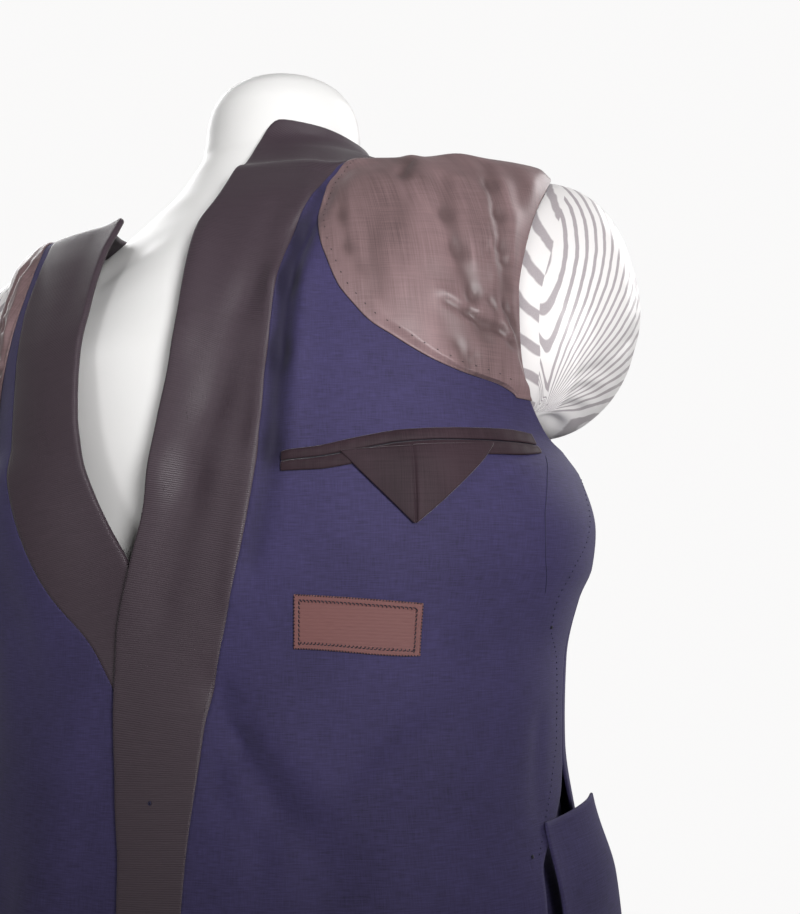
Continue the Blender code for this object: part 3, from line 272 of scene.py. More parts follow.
# shawl: seam phi, seam v, fold phi, fold v, width of the leaf turned under
SHAWL_R = [
    (-88.5, 0.832, -99.0, 0.806, 0.01),
    (-90.0, 0.765, -103.5, 0.755, 0.01),
    (-90.0, 0.69, -104.5, 0.69, 0.01),
    (-90.0, 0.63, -104.8, 0.63, 0.01),
    (-89.3, 0.583, -105.3, 0.585, 0.01),
    (-87.5, 0.537, -107.5, 0.539, 0.01),
    (-85.5, 0.5, -108.7, 0.493, 0.014),
    (-81.7, 0.457, -108.1, 0.451, 0.032),
    (-78.4, 0.422, -103.6, 0.408, 0.05),
    (-74.5, 0.375, -98.8, 0.365, 0.064),
    (-71.8, 0.329, -96.2, 0.315, 0.074),
    (-70.6, 0.28, -93.4, 0.262, 0.078),
    (-68.5, 0.232, -93.9, 0.218, 0.078),
    (-65.0, 0.198, -94.4, 0.188, 0.076),
    (-58.8, 0.169, -90.9, 0.162, 0.07),
    (-51.5, 0.144, -88.6, 0.132, 0.06),
    (-42.5, 0.115, -87.3, 0.09, 0.052),
    (-32.5, 0.085, -85.3, 0.045, 0.046),
    (-23.0, 0.058, -81.5, 0.007, 0.042),
    (-13.5, 0.034, -68.0, -0.01, 0.04),
    (-5.0, 0.016, -42.0, -0.007, 0.04),
    (8.0, 0.008, -10.0, -0.001, 0.04),
    (30.0, 0.012, 22.0, 0.001, 0.04),
    (60.0, 0.018, 56.0, 0.003, 0.04),
    (89.75, 0.026, 89.75, 0.006, 0.04),
]
SHAWL_L = [
    (-82.0, 0.832, -91.0, 0.806, 0.01),
    (-81.0, 0.765, -94.5, 0.755, 0.01),
    (-80.0, 0.69, -94.8, 0.69, 0.01),
    (-80.0, 0.63, -95.0, 0.63, 0.01),
    (-79.0, 0.583, -95.0, 0.585, 0.01),
    (-77.0, 0.537, -95.0, 0.539, 0.01),
    (-73.0, 0.5, -92.0, 0.493, 0.014),
    (-64.0, 0.457, -85.0, 0.451, 0.03),
    (-53.0, 0.422, -74.0, 0.408, 0.044),
    (-45.0, 0.375, -65.0, 0.365, 0.054),
    (-39.0, 0.329, -59.0, 0.315, 0.058),
    (-35.5, 0.28, -55.5, 0.262, 0.06),
    (-33.0, 0.232, -53.0, 0.218, 0.06),
    (-30.0, 0.198, -50.0, 0.19, 0.056),
    (-27.0, 0.169, -46.0, 0.162, 0.052),
    (-22.0, 0.144, -40.0, 0.132, 0.046),
    (-14.0, 0.12, -29.0, 0.1, 0.04),
    (-6.0, 0.104, -13.0, 0.076, 0.038),
    (4.0, 0.096, 3.0, 0.066, 0.038),
    (25.0, 0.078, 24.0, 0.05, 0.038),
    (50.0, 0.052, 50.0, 0.028, 0.04),
    (72.0, 0.034, 72.0, 0.012, 0.04),
    (89.75, 0.026, 89.75, 0.006, 0.04),
]

SHAWL = {1: SHAWL_R, -1: SHAWL_L}

# front shoulder lining: path v, phi of its free edge
LINING_R = [
    (0.014, -4.0), (0.04, -13.5), (0.085, -30.0), (0.115, -41.0), (0.14, -49.6), (0.17, -55.9),
    (0.189, -57.8), (0.206, -57.4), (0.221, -56.0), (0.238, -53.9), (0.25, -51.2), (0.262, -47.9),
    (0.27, -44.2), (0.277, -40.9), (0.284, -37.0), (0.292, -30.5), (0.298, -22.5), (0.304, -19.0),
    (0.318, -26.0), (0.345, -40.0), (0.42, -48.0), (0.6, -54.0), (0.834, -54.0),
]

# jets of the pocket: phi, z of the upper jet's edges, z of the lower jet's edges
POCKET_JETS = [
    (-67.2, 0.568, 0.563, 0.562, 0.557),
    (-60.0, 0.5705, 0.565, 0.5638, 0.5575),
    (-52.0, 0.5755, 0.569, 0.5678, 0.561),
    (-44.0, 0.58, 0.5735, 0.5723, 0.565),
    (-36.0, 0.582, 0.5755, 0.5743, 0.5665),
    (-28.0, 0.583, 0.576, 0.5748, 0.567),
    (-22.0, 0.5835, 0.576, 0.5748, 0.5675),
    (-16.0, 0.5825, 0.5755, 0.5743, 0.57),
]
# corners of the tab and the label on the right front: phi, z
TAB_TIP = (-42.7, 0.5255)
TAB_LEFT = (-55.5, 0.5675)
TAB_RIGHT = (-27.5, 0.5725)
LABEL_SPAN = (0.088, 0.032)  # width and height that stitches on the label are counted in
LABEL_LEFT = -64.4
LABEL_RIGHT = -40.6
LABEL_TOP = (0.4850, 0.4790)
LABEL_BOTTOM = (0.4540, 0.4490)

# dress form: height, half width, depth to front, depth to back, x of centre, y of centre, squareness
FORM = [
    (0.0, 0.168, 0.108, 0.118, 0.0, 0.004, 2.3),
    (0.09, 0.176, 0.112, 0.124, 0.0, 0.004, 2.3),
    (0.18, 0.174, 0.11, 0.12, 0.0, 0.002, 2.3),
    (0.28, 0.158, 0.106, 0.104, 0.0, 0.0, 2.3),
    (0.37, 0.144, 0.104, 0.096, 0.0, 0.0, 2.3),
    (0.44, 0.146, 0.108, 0.098, 0.0, 0.0, 2.3),
    (0.52, 0.157, 0.118, 0.108, 0.0, 0.0, 2.3),
    (0.59, 0.166, 0.128, 0.118, 0.0, 0.001, 2.3),
    (0.64, 0.172, 0.128, 0.122, 0.0, 0.003, 2.3),
    (0.685, 0.178, 0.117, 0.119, 0.0, 0.005, 2.2),
    (0.715, 0.176, 0.103, 0.11, 0.0, 0.007, 2.1),
    (0.735, 0.16, 0.089, 0.099, 0.0, 0.009, 2.0),
    (0.75, 0.13, 0.077, 0.087, 0.0, 0.01, 2.0),
    (0.763, 0.108, 0.069, 0.078, -0.001, 0.011, 2.0),
    (0.776, 0.086, 0.061, 0.069, -0.003, 0.012, 2.0),
    (0.79, 0.07, 0.055, 0.061, -0.004, 0.013, 2.0),
    (0.806, 0.0585, 0.051, 0.057, -0.002, 0.013, 2.0),
    (0.822, 0.0575, 0.051, 0.056, 0.0, 0.013, 2.0),
    (0.836, 0.055, 0.05, 0.054, 0.0, 0.013, 2.0),
    (0.849, 0.048, 0.045, 0.048, 0.0, 0.013, 2.0),
    (0.858, 0.037, 0.035, 0.037, 0.0, 0.013, 2.0),
    (0.863, 0.023, 0.022, 0.023, 0.0, 0.013, 2.0),
    (0.8645, 0.008, 0.008, 0.008, 0.0, 0.013, 2.0),
]
STUB_Z = 0.688            # height of the centre of the form's rounded shoulder stubs
STUB_OUT = 0.054          # how far the stub stands out of the form's ring
STUB_H = 0.086            # half height of the stub
STUB_DEG = 21.0           # half width of the stub, in degrees
STUB_PHI = (2.0, 178.0)   # angles of both stubs

# ---------------------------------------------------------------- curves and skin
def cubic(start, end, start_slope, end_slope, t):
    """Cubic between two values with the given slopes, for t from 0 to 1."""
    a = start * (1 + 2 * t) * (1 - t) ** 2
    b = start_slope * t * (1 - t) ** 2
    c = end * t * t * (3 - 2 * t)
    d = end_slope * t * t * (t - 1)
    return a + b + c + d


def column(rows, key, at):
    """Smooth monotone curve through one column of a table against its first column."""
    table = np.array(rows, float)
    x = table[:, 0]
    y = table[:, key]
    at = np.clip(np.asarray(at, float), x[0], x[-1])
    step = np.diff(x)
    slope = np.diff(y) / step
    m = np.zeros_like(y)
    for k in range(1, len(x) - 1):
        if slope[k - 1] * slope[k] > 0:
            w1 = 2 * step[k] + step[k - 1]
            w2 = step[k] + 2 * step[k - 1]
            m[k] = (w1 + w2) / (w1 / slope[k - 1] + w2 / slope[k])
    m[0] = slope[0]
    m[-1] = slope[-1]
    k = np.clip(np.searchsorted(x, at) - 1, 0, len(x) - 2)
    t = (at - x[k]) / step[k]
    return cubic(y[k], y[k + 1], step[k] * m[k], step[k] * m[k + 1], t)


def smooth(x):
    """Soft step from 0 to 1."""
    x = np.clip(x, 0.0, 1.0)
    return x * x * (3 - 2 * x)


def v_of_z(z):
    """Path down from the neck point at a height below the shoulder."""
    return SHOULDER_V + SHOULDER_Z + SHOULDER_BEND - np.asarray(z, float)


def folds_at(table, phi, z):
    """Height of the soft folds of a table at an angle in degrees and a height."""
    phi = (np.asarray(phi, float) + 180.0) % 360.0 - 180.0
    total = np.zeros(np.broadcast(phi, z).shape)
    for p0, z0, p1, z1, width, depth in table:
        ax = ((phi - p0 + 180.0) % 360.0 - 180.0) * FOLD_SCALE
        az = z - z0
        bx = (p1 - p0) * FOLD_SCALE
        bz = z1 - z0
        length = math.hypot(bx, bz)
        along = (ax * bx + az * bz) / length
        across = (ax * bz - az * bx) / length
        beyond = np.maximum(np.maximum(-along, along - length), 0.0)
        total += depth * np.exp(-(across / width) ** 2 - (beyond / (1.3 * width)) ** 2)
    return total


def relief(phi, z):
    """Height of the soft folds at an angle in degrees and a height."""
    return folds_at(FOLDS + FULL_FOLDS + VALLEY_FOLDS, phi, z)


def far_drop(x, z):
    """The -X shoulder sits a little lower than the +X one."""
    return FAR_DROP * smooth((-x - 0.03) / 0.08) * smooth((z - 0.60) / 0.12)


def ring_at(phi, half, front, back, square):
    """Cosine and sine of an angle, and the reach there of a rounded ring about its centre."""
    c = np.cos(np.radians(phi))
    s = np.sin(np.radians(phi))
    depth = np.where(s < 0, front, back)
    reach = ((np.abs(c) / half) ** square + (np.abs(s) / depth) ** square) ** (-1 / square)
    return c, s, reach


def bare_skin(phi, v):
    """Point of the smooth garment skin."""
    phi, v = np.broadcast_arrays(np.asarray(phi, float), np.asarray(v, float))
    z, half, front, back, yc, square = (column(SKIN, k, v) for k in range(1, 7))
    c, s, r = ring_at(phi, half, front, back, square)
    x = r * c
    return np.stack([x, yc + r * s, z - far_drop(x, z)], -1)


def skin_normal(phi, v):
    """Outward unit normal of the smooth skin."""
    e = 0.0015
    du = bare_skin(phi + 0.4, v) - bare_skin(phi - 0.4, v)
    low = np.maximum(v - e, SKIN[0][0])
    high = np.minimum(v + e, SKIN[-1][0])
    dv = bare_skin(phi, high) - bare_skin(phi, low)
    n = np.cross(dv, du)
    return n / np.linalg.norm(n, axis=-1, keepdims=True)


def skin(phi, v, out=0.0):
    """Point of the folded garment skin, moved outward by out."""
    phi, v = np.broadcast_arrays(np.asarray(phi, float), np.asarray(v, float))
    p = bare_skin(phi, v)
    lift = relief(phi, p[..., 2]) * smooth((v - 0.01) / 0.05)
    return p + skin_normal(phi, v) * (lift + out - SETTLE)[..., None]


def mirror(phi, side):
    """Angle on the real skin of an angle that was written for the +X half."""
    return phi if side > 0 else -180.0 - phi


# ---------------------------------------------------------------- armhole
def arm_phi(v, front):
    """Angle of the armhole edge at path v."""
    z, a, bf, bb, yc, n = (column(SKIN, k, v) for k in range(1, 7))
    k = np.clip(np.abs(z - ARM_Z) / ARM_HALF_H, 0, 1)
    power = np.where(z > ARM_Z, 1.5 if front else 1.9, 2.8 if front else 2.5)
    half = (1 - k ** power) ** (1 / power)
    y = ARM_Y + (-ARM_FRONT if front else ARM_BACK) * half
    b = np.where(y < yc, bf, bb)
    x = a * (1 - np.abs((y - yc) / b) ** n) ** (1 / n)
    return np.degrees(np.arctan2(y - yc, x))


def shawl_at(v, side):
    """Seam phi, fold phi, fold v and leaf width of the front part of a shawl, at seam path v."""
    rows = sorted((seam_v, seam, *rest) for seam, seam_v, *rest in SHAWL[side] if seam < 6.0)
    return [column(rows, k, v) for k in range(1, 5)]


def shawl_behind(phi, side):
    """Seam v, fold phi, fold v and leaf width of the neck part of a shawl, at seam angle phi."""
    rows = sorted(row for row in SHAWL[side] if row[0] > -20.0)
    return [column(rows, k, phi) for k in range(1, 5)]


def sink(phi, v, side):
    """How far the under front lies below the upper one where they overlap."""
    phi, v = np.broadcast_arrays(np.asarray(phi, float), np.asarray(v, float))
    if side > 0:
        return np.zeros(phi.shape)
    return UNDER_SINK * smooth((-phi - 46.0) / 22.0) * smooth((v - 0.31) / 0.07)


def form_point(phi, z):
    """Point of the dress form, with its two rounded shoulder stubs."""
    half, front, back, xc, yc, square = (column(FORM, k, z) for k in range(1, 7))
    phi, z = np.broadcast_arrays(np.asarray(phi, float), np.asarray(z, float))
    c, s, r = ring_at(phi, half, front, back, square)
    off = np.minimum(*(np.abs((phi - at + 180) % 360 - 180) for at in STUB_PHI))
    k = np.sqrt((off / STUB_DEG) ** 2 + ((z - STUB_Z) / STUB_H) ** 2)
    r = r + STUB_OUT * np.sqrt(np.clip(1 - k ** 2, 0, 1)) * smooth((1 - k) * 2.2)
    x = xc + r * c
    drop = far_drop(x, z) * (1 - 0.55 * smooth((z - 0.725) / 0.03)) * (1 - smooth((z - 0.79) / 0.02))
    return np.stack([x, yc + r * s, z - drop], -1)


# mouth of the sleeve: turn from the underarm, x in front, x behind, reach in y from the centre, height
MOUTH = [
    (0.0, 0.1945, 0.1945, 0.0, 0.5765),
    (0.071, 0.1905, 0.187, 0.0255, 0.58),
    (0.096, 0.185, 0.1805, 0.032, 0.585),
    (0.127, 0.1795, 0.1745, 0.0355, 0.5915),
    (0.164, 0.176, 0.169, 0.037, 0.596),
    (0.204, 0.1745, 0.168, 0.037, 0.597),
    (0.247, 0.1735, 0.1685, 0.035, 0.5965),
    (0.29, 0.173, 0.1695, 0.0315, 0.595),
    (0.335, 0.1725, 0.1705, 0.025, 0.593),
    (0.385, 0.172, 0.1712, 0.0165, 0.591),
    (0.5, 0.1715, 0.1715, 0.0, 0.5895),
]


# ---------------------------------------------------------------- details that lie on the skin
# satin creases: phi and z of both ends, width, depth (minus = trough)
CREASES = [
    (-32.6, 0.7648, -36.2, 0.7499, 0.003, -0.0026),
    (-36.2, 0.7499, -37.2, 0.7314, 0.004, -0.0016),
    (-30.4, 0.764, -33.2, 0.746, 0.0055, 0.0018),
    (-29.2, 0.7447, -31.5, 0.7194, 0.0045, -0.0022),
    (-31.5, 0.7194, -30.7, 0.6952, 0.0048, -0.0028),
    (-30.7, 0.6952, -28.5, 0.6668, 0.0048, -0.0026),
    (-28.5, 0.6668, -29.2, 0.657, 0.0036, -0.0022),
    (-33.8, 0.738, -35.0, 0.69, 0.008, 0.0018),
    (-26.4, 0.745, -27.4, 0.69, 0.0065, 0.0022),
    (-19.4, 0.7613, -20.9, 0.7447, 0.0034, -0.0022),
    (-20.9, 0.7447, -21.5, 0.7224, 0.0034, -0.0028),
    (-21.5, 0.7224, -22.4, 0.6982, 0.0034, -0.0026),
    (-22.4, 0.6982, -21.8, 0.6608, 0.004, -0.0018),
    (-22.9, 0.7344, -24.0, 0.705, 0.0042, 0.0024),
    (-24.0, 0.705, -23.9, 0.68, 0.0042, 0.0022),
    (-23.9, 0.7088, -25.5, 0.693, 0.0024, -0.0022),
    (-18.6, 0.745, -19.2, 0.695, 0.005, 0.0018),
    (-33.4, 0.66, -29.6, 0.6532, 0.0026, -0.002),
    (-29.6, 0.6532, -26.5, 0.648, 0.0026, -0.0026),
    (-26.5, 0.648, -23.2, 0.6458, 0.0038, -0.0032),
    (-23.2, 0.6458, -20.5, 0.639, 0.003, -0.0028),
    (-20.5, 0.639, -17.5, 0.6307, 0.003, -0.0028),
    (-33.8, 0.666, -28.0, 0.6565, 0.004, 0.0014),
    (-25.1, 0.663, -23.0, 0.654, 0.0026, -0.0024),
    (-23.6, 0.66, -21.2, 0.6443, 0.0034, 0.0024),
    (-21.8, 0.6443, -18.7, 0.6345, 0.0036, 0.0024),
    (-21.8, 0.6608, -19.9, 0.651, 0.003, -0.0026),
    (-19.9, 0.651, -17.8, 0.6382, 0.0028, -0.0028),
    (-22.4, 0.69, -20.5, 0.6885, 0.0026, -0.0018),
    (-21.0, 0.6772, -20.6, 0.674, 0.0038, -0.0016),
    (-27.4, 0.643, -26.6, 0.64, 0.0042, -0.0018),
    (-32.0, 0.633, -31.4, 0.6262, 0.0036, -0.0018),
    (-29.3, 0.627, -30.5, 0.621, 0.0034, -0.0018),
    (-34.4, 0.65, -33.6, 0.638, 0.007, -0.0012),
    (-46.4, 0.7005, -46.4, 0.6667, 0.006, -0.0014),
    (-49.4, 0.7527, -52.1, 0.7192, 0.0042, -0.0016),
    (-52.1, 0.7192, -51.8, 0.6967, 0.0042, -0.0018),
    (-51.8, 0.6967, -50.0, 0.6817, 0.0042, -0.0014),
    (-40.0, 0.735, -41.0, 0.65, 0.008, 0.001),
    (-14.9, 0.7536, -16.0, 0.7344, 0.007, -0.0018),
    (-12.0, 0.75, -13.0, 0.7, 0.006, 0.0012),
    (18.0, 0.745, 24.0, 0.65, 0.007, -0.0022),
    (28.0, 0.745, 36.0, 0.66, 0.008, 0.0018),
    (44.0, 0.74, 46.0, 0.65, 0.008, -0.0018),
    (14.0, 0.69, 26.0, 0.662, 0.004, -0.0022),
    (26.0, 0.662, 34.0, 0.64, 0.0044, -0.0018),
]
CREASE_SHARE = 0.65       # how much of the table's depth the creases get
# soft humps of the satin along the shoulder ridge: phi, path v, half width in degrees, half path, height
RIDGE_HUMPS = [(-20.9, 0.1298, 3.4, 0.012, 0.0024), (-29.2, 0.1240, 1.3, 0.010, 0.0012),
               (-4.5, 0.1390, 4.5, 0.010, 0.0014), (12.0, 0.1290, 5.0, 0.012, 0.0016)]
# small creases of the wool, beside the folds of the part
WOOL_CREASES = [
    (-79.3, 0.4165, -77.2, 0.4085, 0.0034, 0.0012),
    (-78.8, 0.4085, -76.9, 0.396, 0.0036, -0.0016),
    (-82.5, 0.392, -81.0, 0.37, 0.009, -0.0014),
    (-72.5, 0.35, -71.5, 0.325, 0.01, -0.0014),
    (-55.0, 0.52, -50.0, 0.5, 0.018, 0.0008),
    (-30.0, 0.455, -26.0, 0.4, 0.012, -0.0014),
    (-14.0, 0.4, -16.0, 0.355, 0.008, -0.0016),
]
# sewing on the right front, each by phi and z
PRICK_LINE = [(2.6, 0.560), (-1.5, 0.547), (-3.8, 0.530), (-7.0, 0.513), (-10.9, 0.498), (-12.4, 0.476),
              (-11.9, 0.462), (-7.2, 0.442), (-5.7, 0.415), (-5.9, 0.3915), (-9.5, 0.371),
              (-13.2, 0.353), (-19.2, 0.326)]
DART_LINE = [(-14.6, 0.5690), (-17.4, 0.5520), (-19.7, 0.5280), (-19.0, 0.5050), (-16.5, 0.4834)]
TACKS = [(-11.9, 0.4621), (-20.4, 0.3285), (2.4, 0.3180)]
BUTTON_STITCHES = (-98.5, 0.3645)  # on the upper facing
VENT_TOP = 0.345          # height of the top of the vent laps
# a stitch along its length: share of the way, share of its bow, share of its thickness
STITCH = [(0.0, 0.0, 0.35), (0.12, 0.5, 0.8), (0.5, 1.0, 1.0), (0.88, 0.5, 0.8), (1.0, 0.0, 0.35)]

# sleeve lining: turn round the armhole, share of the way out at which its seam runs
SLEEVE_SEAM = [
    (0.0, 0.96), (0.14, 0.93), (0.165, 0.64), (0.176, 0.34), (0.198, 0.2), (0.223, 0.14),
    (0.26, 0.11), (0.3, 0.1), (0.357, 0.08), (0.463, 0.03), (0.52, 0.015), (1.0, 0.015),
]
# stripes of the sleeve lining outside its seam, each by places along it: reach to the side, height
STRIPE_LINES = [
    [(0.1919, 0.7612), (0.1976, 0.7446), (0.1964, 0.7257), (0.1883, 0.6956), (0.1789, 0.674)],
    [(0.1965, 0.7604), (0.2041, 0.7391), (0.2024, 0.7134), (0.194, 0.6706), (0.185, 0.6514),
     (0.1767, 0.6333)],
    [(0.2031, 0.7581), (0.2102, 0.7333), (0.2115, 0.7043), (0.2015, 0.671), (0.1915, 0.6397),
     (0.1786, 0.6169)],
    [(0.2092, 0.7543), (0.219, 0.7281), (0.2184, 0.7047), (0.2125, 0.6748), (0.2025, 0.6565),
     (0.1938, 0.6357), (0.181, 0.6109)],
    [(0.2148, 0.7506), (0.2249, 0.7225), (0.2253, 0.6984), (0.2187, 0.6753), (0.1989, 0.6422)],
    [(0.2177, 0.7411), (0.2295, 0.7153), (0.2304, 0.6955), (0.2262, 0.6736), (0.2123, 0.6532),
     (0.1942, 0.6272)],
    [(0.2236, 0.7311), (0.2346, 0.7057), (0.2338, 0.6935), (0.2247, 0.6676), (0.2051, 0.6335)],
    [(0.2305, 0.7197), (0.2379, 0.6948), (0.23, 0.6723), (0.2192, 0.6487), (0.2024, 0.6274)],
    [(0.2382, 0.6844), (0.2257, 0.662), (0.2095, 0.6373)],
    [(0.2392, 0.6752), (0.2262, 0.6542), (0.209, 0.6327)],
    [(0.239, 0.6655), (0.2204, 0.6426), (0.2064, 0.6246)],
    [(0.2373, 0.6576), (0.2215, 0.6366), (0.2068, 0.6215)],
    [(0.2362, 0.6485), (0.2222, 0.6337), (0.2085, 0.6212)],
    [(0.2342, 0.6396), (0.2176, 0.6268), (0.2067, 0.6181)],
    [(0.2309, 0.6308), (0.2157, 0.6203), (0.204, 0.6118)],
    [(0.2302, 0.6253), (0.2139, 0.6157), (0.2011, 0.6061)],
    [(0.2279, 0.6178), (0.2119, 0.6099)],
    [(0.2241, 0.6105), (0.2094, 0.6044)],
]
# the same between the armhole and the seam
SEAM_STRIPES = [
    [(0.1863, 0.7461), (0.1883, 0.7405), (0.1912, 0.7284), (0.1919, 0.7211)],
    [(0.1787, 0.7298), (0.1807, 0.7188), (0.1837, 0.7015)],
    [(0.1713, 0.7015), (0.1744, 0.6887), (0.1789, 0.674)],
    [(0.166, 0.6686), (0.1719, 0.6592), (0.1756, 0.6481)],
    [(0.1644, 0.6428), (0.1703, 0.6346), (0.1761, 0.6283)],
    [(0.166, 0.6209), (0.1768, 0.6144)],
    [(0.1733, 0.6052), (0.1808, 0.6021)],
]
STRIPE_FOCUS = (0.1816, 0.6007)  # where the stripes run together: reach to the side, height
STRIPE_SHARE = 0.36       # width of a stripe as a share of the way to the next one
# puckers of the sleeve lining: turn, share out, half turn, half share, slant, depth
PUCKERS = [
    (0.33, 0.62, 0.08, 0.03, 0.5, -0.0031), (0.345, 0.7, 0.085, 0.03, 0.45, -0.0036),
    (0.36, 0.78, 0.08, 0.028, 0.35, -0.0036), (0.35, 0.86, 0.08, 0.026, 0.25, -0.0031),
    (0.42, 0.56, 0.06, 0.03, -0.3, -0.0022), (0.3, 0.42, 0.02, 0.14, 0.9, 0.0017),
    (0.395, 0.3, 0.018, 0.16, 0.2, 0.0017), (0.44, 0.36, 0.016, 0.15, 0.1, -0.0017),
    (0.25, 0.6, 0.02, 0.16, 0.6, 0.0017), (0.64, 0.6, 0.07, 0.04, 0.4, -0.0031),
    (0.7, 0.72, 0.08, 0.034, -0.4, -0.0034), (0.56, 0.45, 0.018, 0.16, 0.1, 0.002),
]
# hanging sleeve: height, half width in degrees, half thickness, depth below the skin
TUBE = [
    (0.562, 13.0, 0.01, 0.017),
    (0.538, 20.0, 0.0085, 0.021),
    (0.515, 25.0, 0.0085, 0.02),
    (0.445, 26.0, 0.008, 0.0175),
    (0.365, 25.0, 0.0075, 0.0165),
    (0.275, 21.0, 0.008, 0.0175),
    (0.2, 19.0, 0.008, 0.0175),
    (CUFF_Z, 18.5, 0.0080, 0.0175),
]


def wool_lift(phi, v):
    """Small creases of the right front."""
    z = v_of_z(v)
    return folds_at(WOOL_CREASES, phi, z)


def satin_lift(phi, v):
    """Air under the shoulder lining: a slight swell, cut by creases, with humps along the ridge."""
    z = column(SKIN, 1, v)
    swell = 0.0002 + 0.0026 * smooth((v - SHOULDER_V) / 0.030)
    humps = sum(high * np.exp(-((phi - at) / half) ** 2 - ((v - path) / reach) ** 2)
                for at, path, half, reach, high in RIDGE_HUMPS)
    return np.maximum(swell + CREASE_SHARE * folds_at(CREASES, phi, z) + humps, 0.0002)


def flat_xy(phi, v):
    """A point of the skin on the flat cut, in metres."""
    phi, v = np.broadcast_arrays(np.asarray(phi, float), np.asarray(v, float))
    return np.stack([np.radians(phi) * ROUND, -v], -1)


def hole_edge(v, front):
    """Angle of a panel's outer edge, with the armhole as one smooth curve."""
    v = np.asarray(v, float)
    plain = column(EDGE_FRONT if front else EDGE_BACK, 1, v)
    inside = (v > SHOULDER_V) & (v < UNDERARM_V)
    hole = arm_phi(v, front)
    hole = np.minimum(hole, 1.6) if front else np.maximum(hole, 1.8)
    return np.where(inside, hole, plain)


# ---------------------------------------------------------------- meshes
def signed_volume(verts, quads):
    """Six times the volume inside a mesh of quads, positive when its faces look out."""
    a, b, c, d = (verts[quads[:, k]] for k in range(4))
    one = np.einsum("ij,ij->i", a, np.cross(b, c)).sum()
    two = np.einsum("ij,ij->i", a, np.cross(c, d)).sum()
    return one + two


def new_object(name, verts, faces, mat, smooth_faces=True):
    """Mesh object in the scene."""
    mesh = bpy.data.meshes.new(name)
    mesh.from_pydata([tuple(p) for p in verts], [], [tuple(int(k) for k in f) for f in faces])
    mesh.materials.append(mat)
    mesh.polygons.foreach_set("use_smooth", [smooth_faces] * len(mesh.polygons))
    mesh.update()
    obj = bpy.data.objects.new(name, mesh)
    bpy.context.scene.collection.objects.link(obj)
    return obj


def lay_uv(obj, uv):
    """Store a flat place in metres for every corner of every face."""
    layer = obj.data.uv_layers.new(name="cloth")
    layer.data.foreach_set("uv", np.asarray(uv, np.float32).ravel())


def grid_quads(rows, cols, closed):
    """Quads of a grid of points, row after row, and the row of each."""
    i = np.arange(rows - 1)[:, None]
    j = np.arange(cols if closed else cols - 1)[None, :]
    k = (j + 1) % cols
    corners = [i * cols + j, i * cols + k, (i + 1) * cols + k, (i + 1) * cols + j]
    quads = np.stack(corners, -1)
    return quads.reshape(-1, 4), np.broadcast_to(i, quads.shape[:2]).ravel()


def rim_of(rows, cols, round_u):
    """Index loops round the border of a grid, each with the index of the next row or column in."""
    index = np.arange(rows * cols).reshape(rows, cols)
    if round_u:
        return [(index[0], index[1]), (index[-1, ::-1], index[-2, ::-1])]
    loop = np.concatenate([index[0], index[1:, -1], index[-1, -2::-1], index[-2:0:-1, 0]])
    inner = np.concatenate([index[1], index[1:, -2], index[-2, -2::-1], index[-2:0:-1, 1]])
    inner[0] = index[1, 1]
    inner[cols - 1] = index[1, -2]
    return [(loop, inner)]


def cloth(name, low, high, uv, mat, round_u=False, split=None, uv_below=None):
    """Closed cloth wall between two faces of points, with a rounded rim and a flat place in its UV."""
    rows, cols = low.shape[:2]
    count = rows * cols
    verts = [low.reshape(-1, 3), high.reshape(-1, 3)]
    quad, row_of = grid_quads(rows, cols, round_u)
    faces = [quad + count, quad[:, ::-1]]
    source = [quad, quad[:, ::-1]]
    face_row = [row_of, row_of]
    base = 2 * count
    for loop, inner in rim_of(rows, cols, round_u):
        a_low, a_high = verts[0][loop], verts[1][loop]
        half = 0.5 * np.linalg.norm(a_high - a_low, axis=1, keepdims=True)
        away = 0.5 * (a_low + a_high) - 0.5 * (verts[0][inner] + verts[1][inner])
        away = away / (np.linalg.norm(away, axis=1, keepdims=True) + 1e-12)
        verts.append(0.5 * (a_low + a_high) + away * half * 0.7)
        n = len(loop)
        here = np.arange(n)
        there = (here + 1) % n
        mid = base + here
        mid_next = base + there
        faces.append(np.stack([loop[there] + count, loop[here] + count, mid, mid_next], -1))
        faces.append(np.stack([mid_next, mid, loop[here], loop[there]], -1))
        both = np.stack([loop[there], loop[here], loop[here], loop[there]], -1)
        source += [both, both]
        face_row += [np.minimum(loop // cols, rows - 2)] * 2
        base += n
    verts = np.concatenate(verts)
    faces = np.concatenate(faces)
    source = np.concatenate(source)
    face_row = np.concatenate(face_row)
    if signed_volume(verts, faces) < 0:
        faces = faces[:, ::-1]
        source = source[:, ::-1]
    obj = new_object(name, verts, faces, mat)
    corners = uv.reshape(-1, 2)[source]
    if split is not None:
        below = face_row >= split
        corners[below] = uv_below.reshape(-1, 2)[source][below]
    lay_uv(obj, corners.reshape(-1, 2))
    return obj


def cloth_on_skin(name, phi, v, side, base, wall, mat):
    """Cloth with its inner face at base over the skin; gives the object and its outer face."""
    low = skin(mirror(phi, side), v, base)
    high = skin(mirror(phi, side), v, base + wall)
    return cloth(name, low, high, flat_xy(phi, v), mat), high


def cut_size(grid, round_u=False):
    """Width, length and area of a grid of points laid flat."""
    g = np.concatenate([grid, grid[:, :1]], 1) if round_u else grid
    width = np.linalg.norm(np.diff(g, axis=1), axis=-1).sum(1).max()
    length = np.linalg.norm(np.diff(g, axis=0), axis=-1).sum(0).max()
    du = g[1:, 1:] - g[:-1, :-1]
    dv = g[1:, :-1] - g[:-1, 1:]
    area = 0.5 * np.linalg.norm(np.cross(du, dv), axis=-1).sum()
    return (float(width), float(length)), float(area)


def finish_cloth(obj, grid, node, round_u=False):
    """A piece of cloth rides on the one body and stands for its solid, which is hidden."""
    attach(obj, "root")
    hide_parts(node)
    size, area = cut_size(grid, round_u)
    if min(size) < LEAST_SHEET:
        return obj
    area = min(max(area, 0.3 * size[0] * size[1]), size[0] * size[1])
    return obj


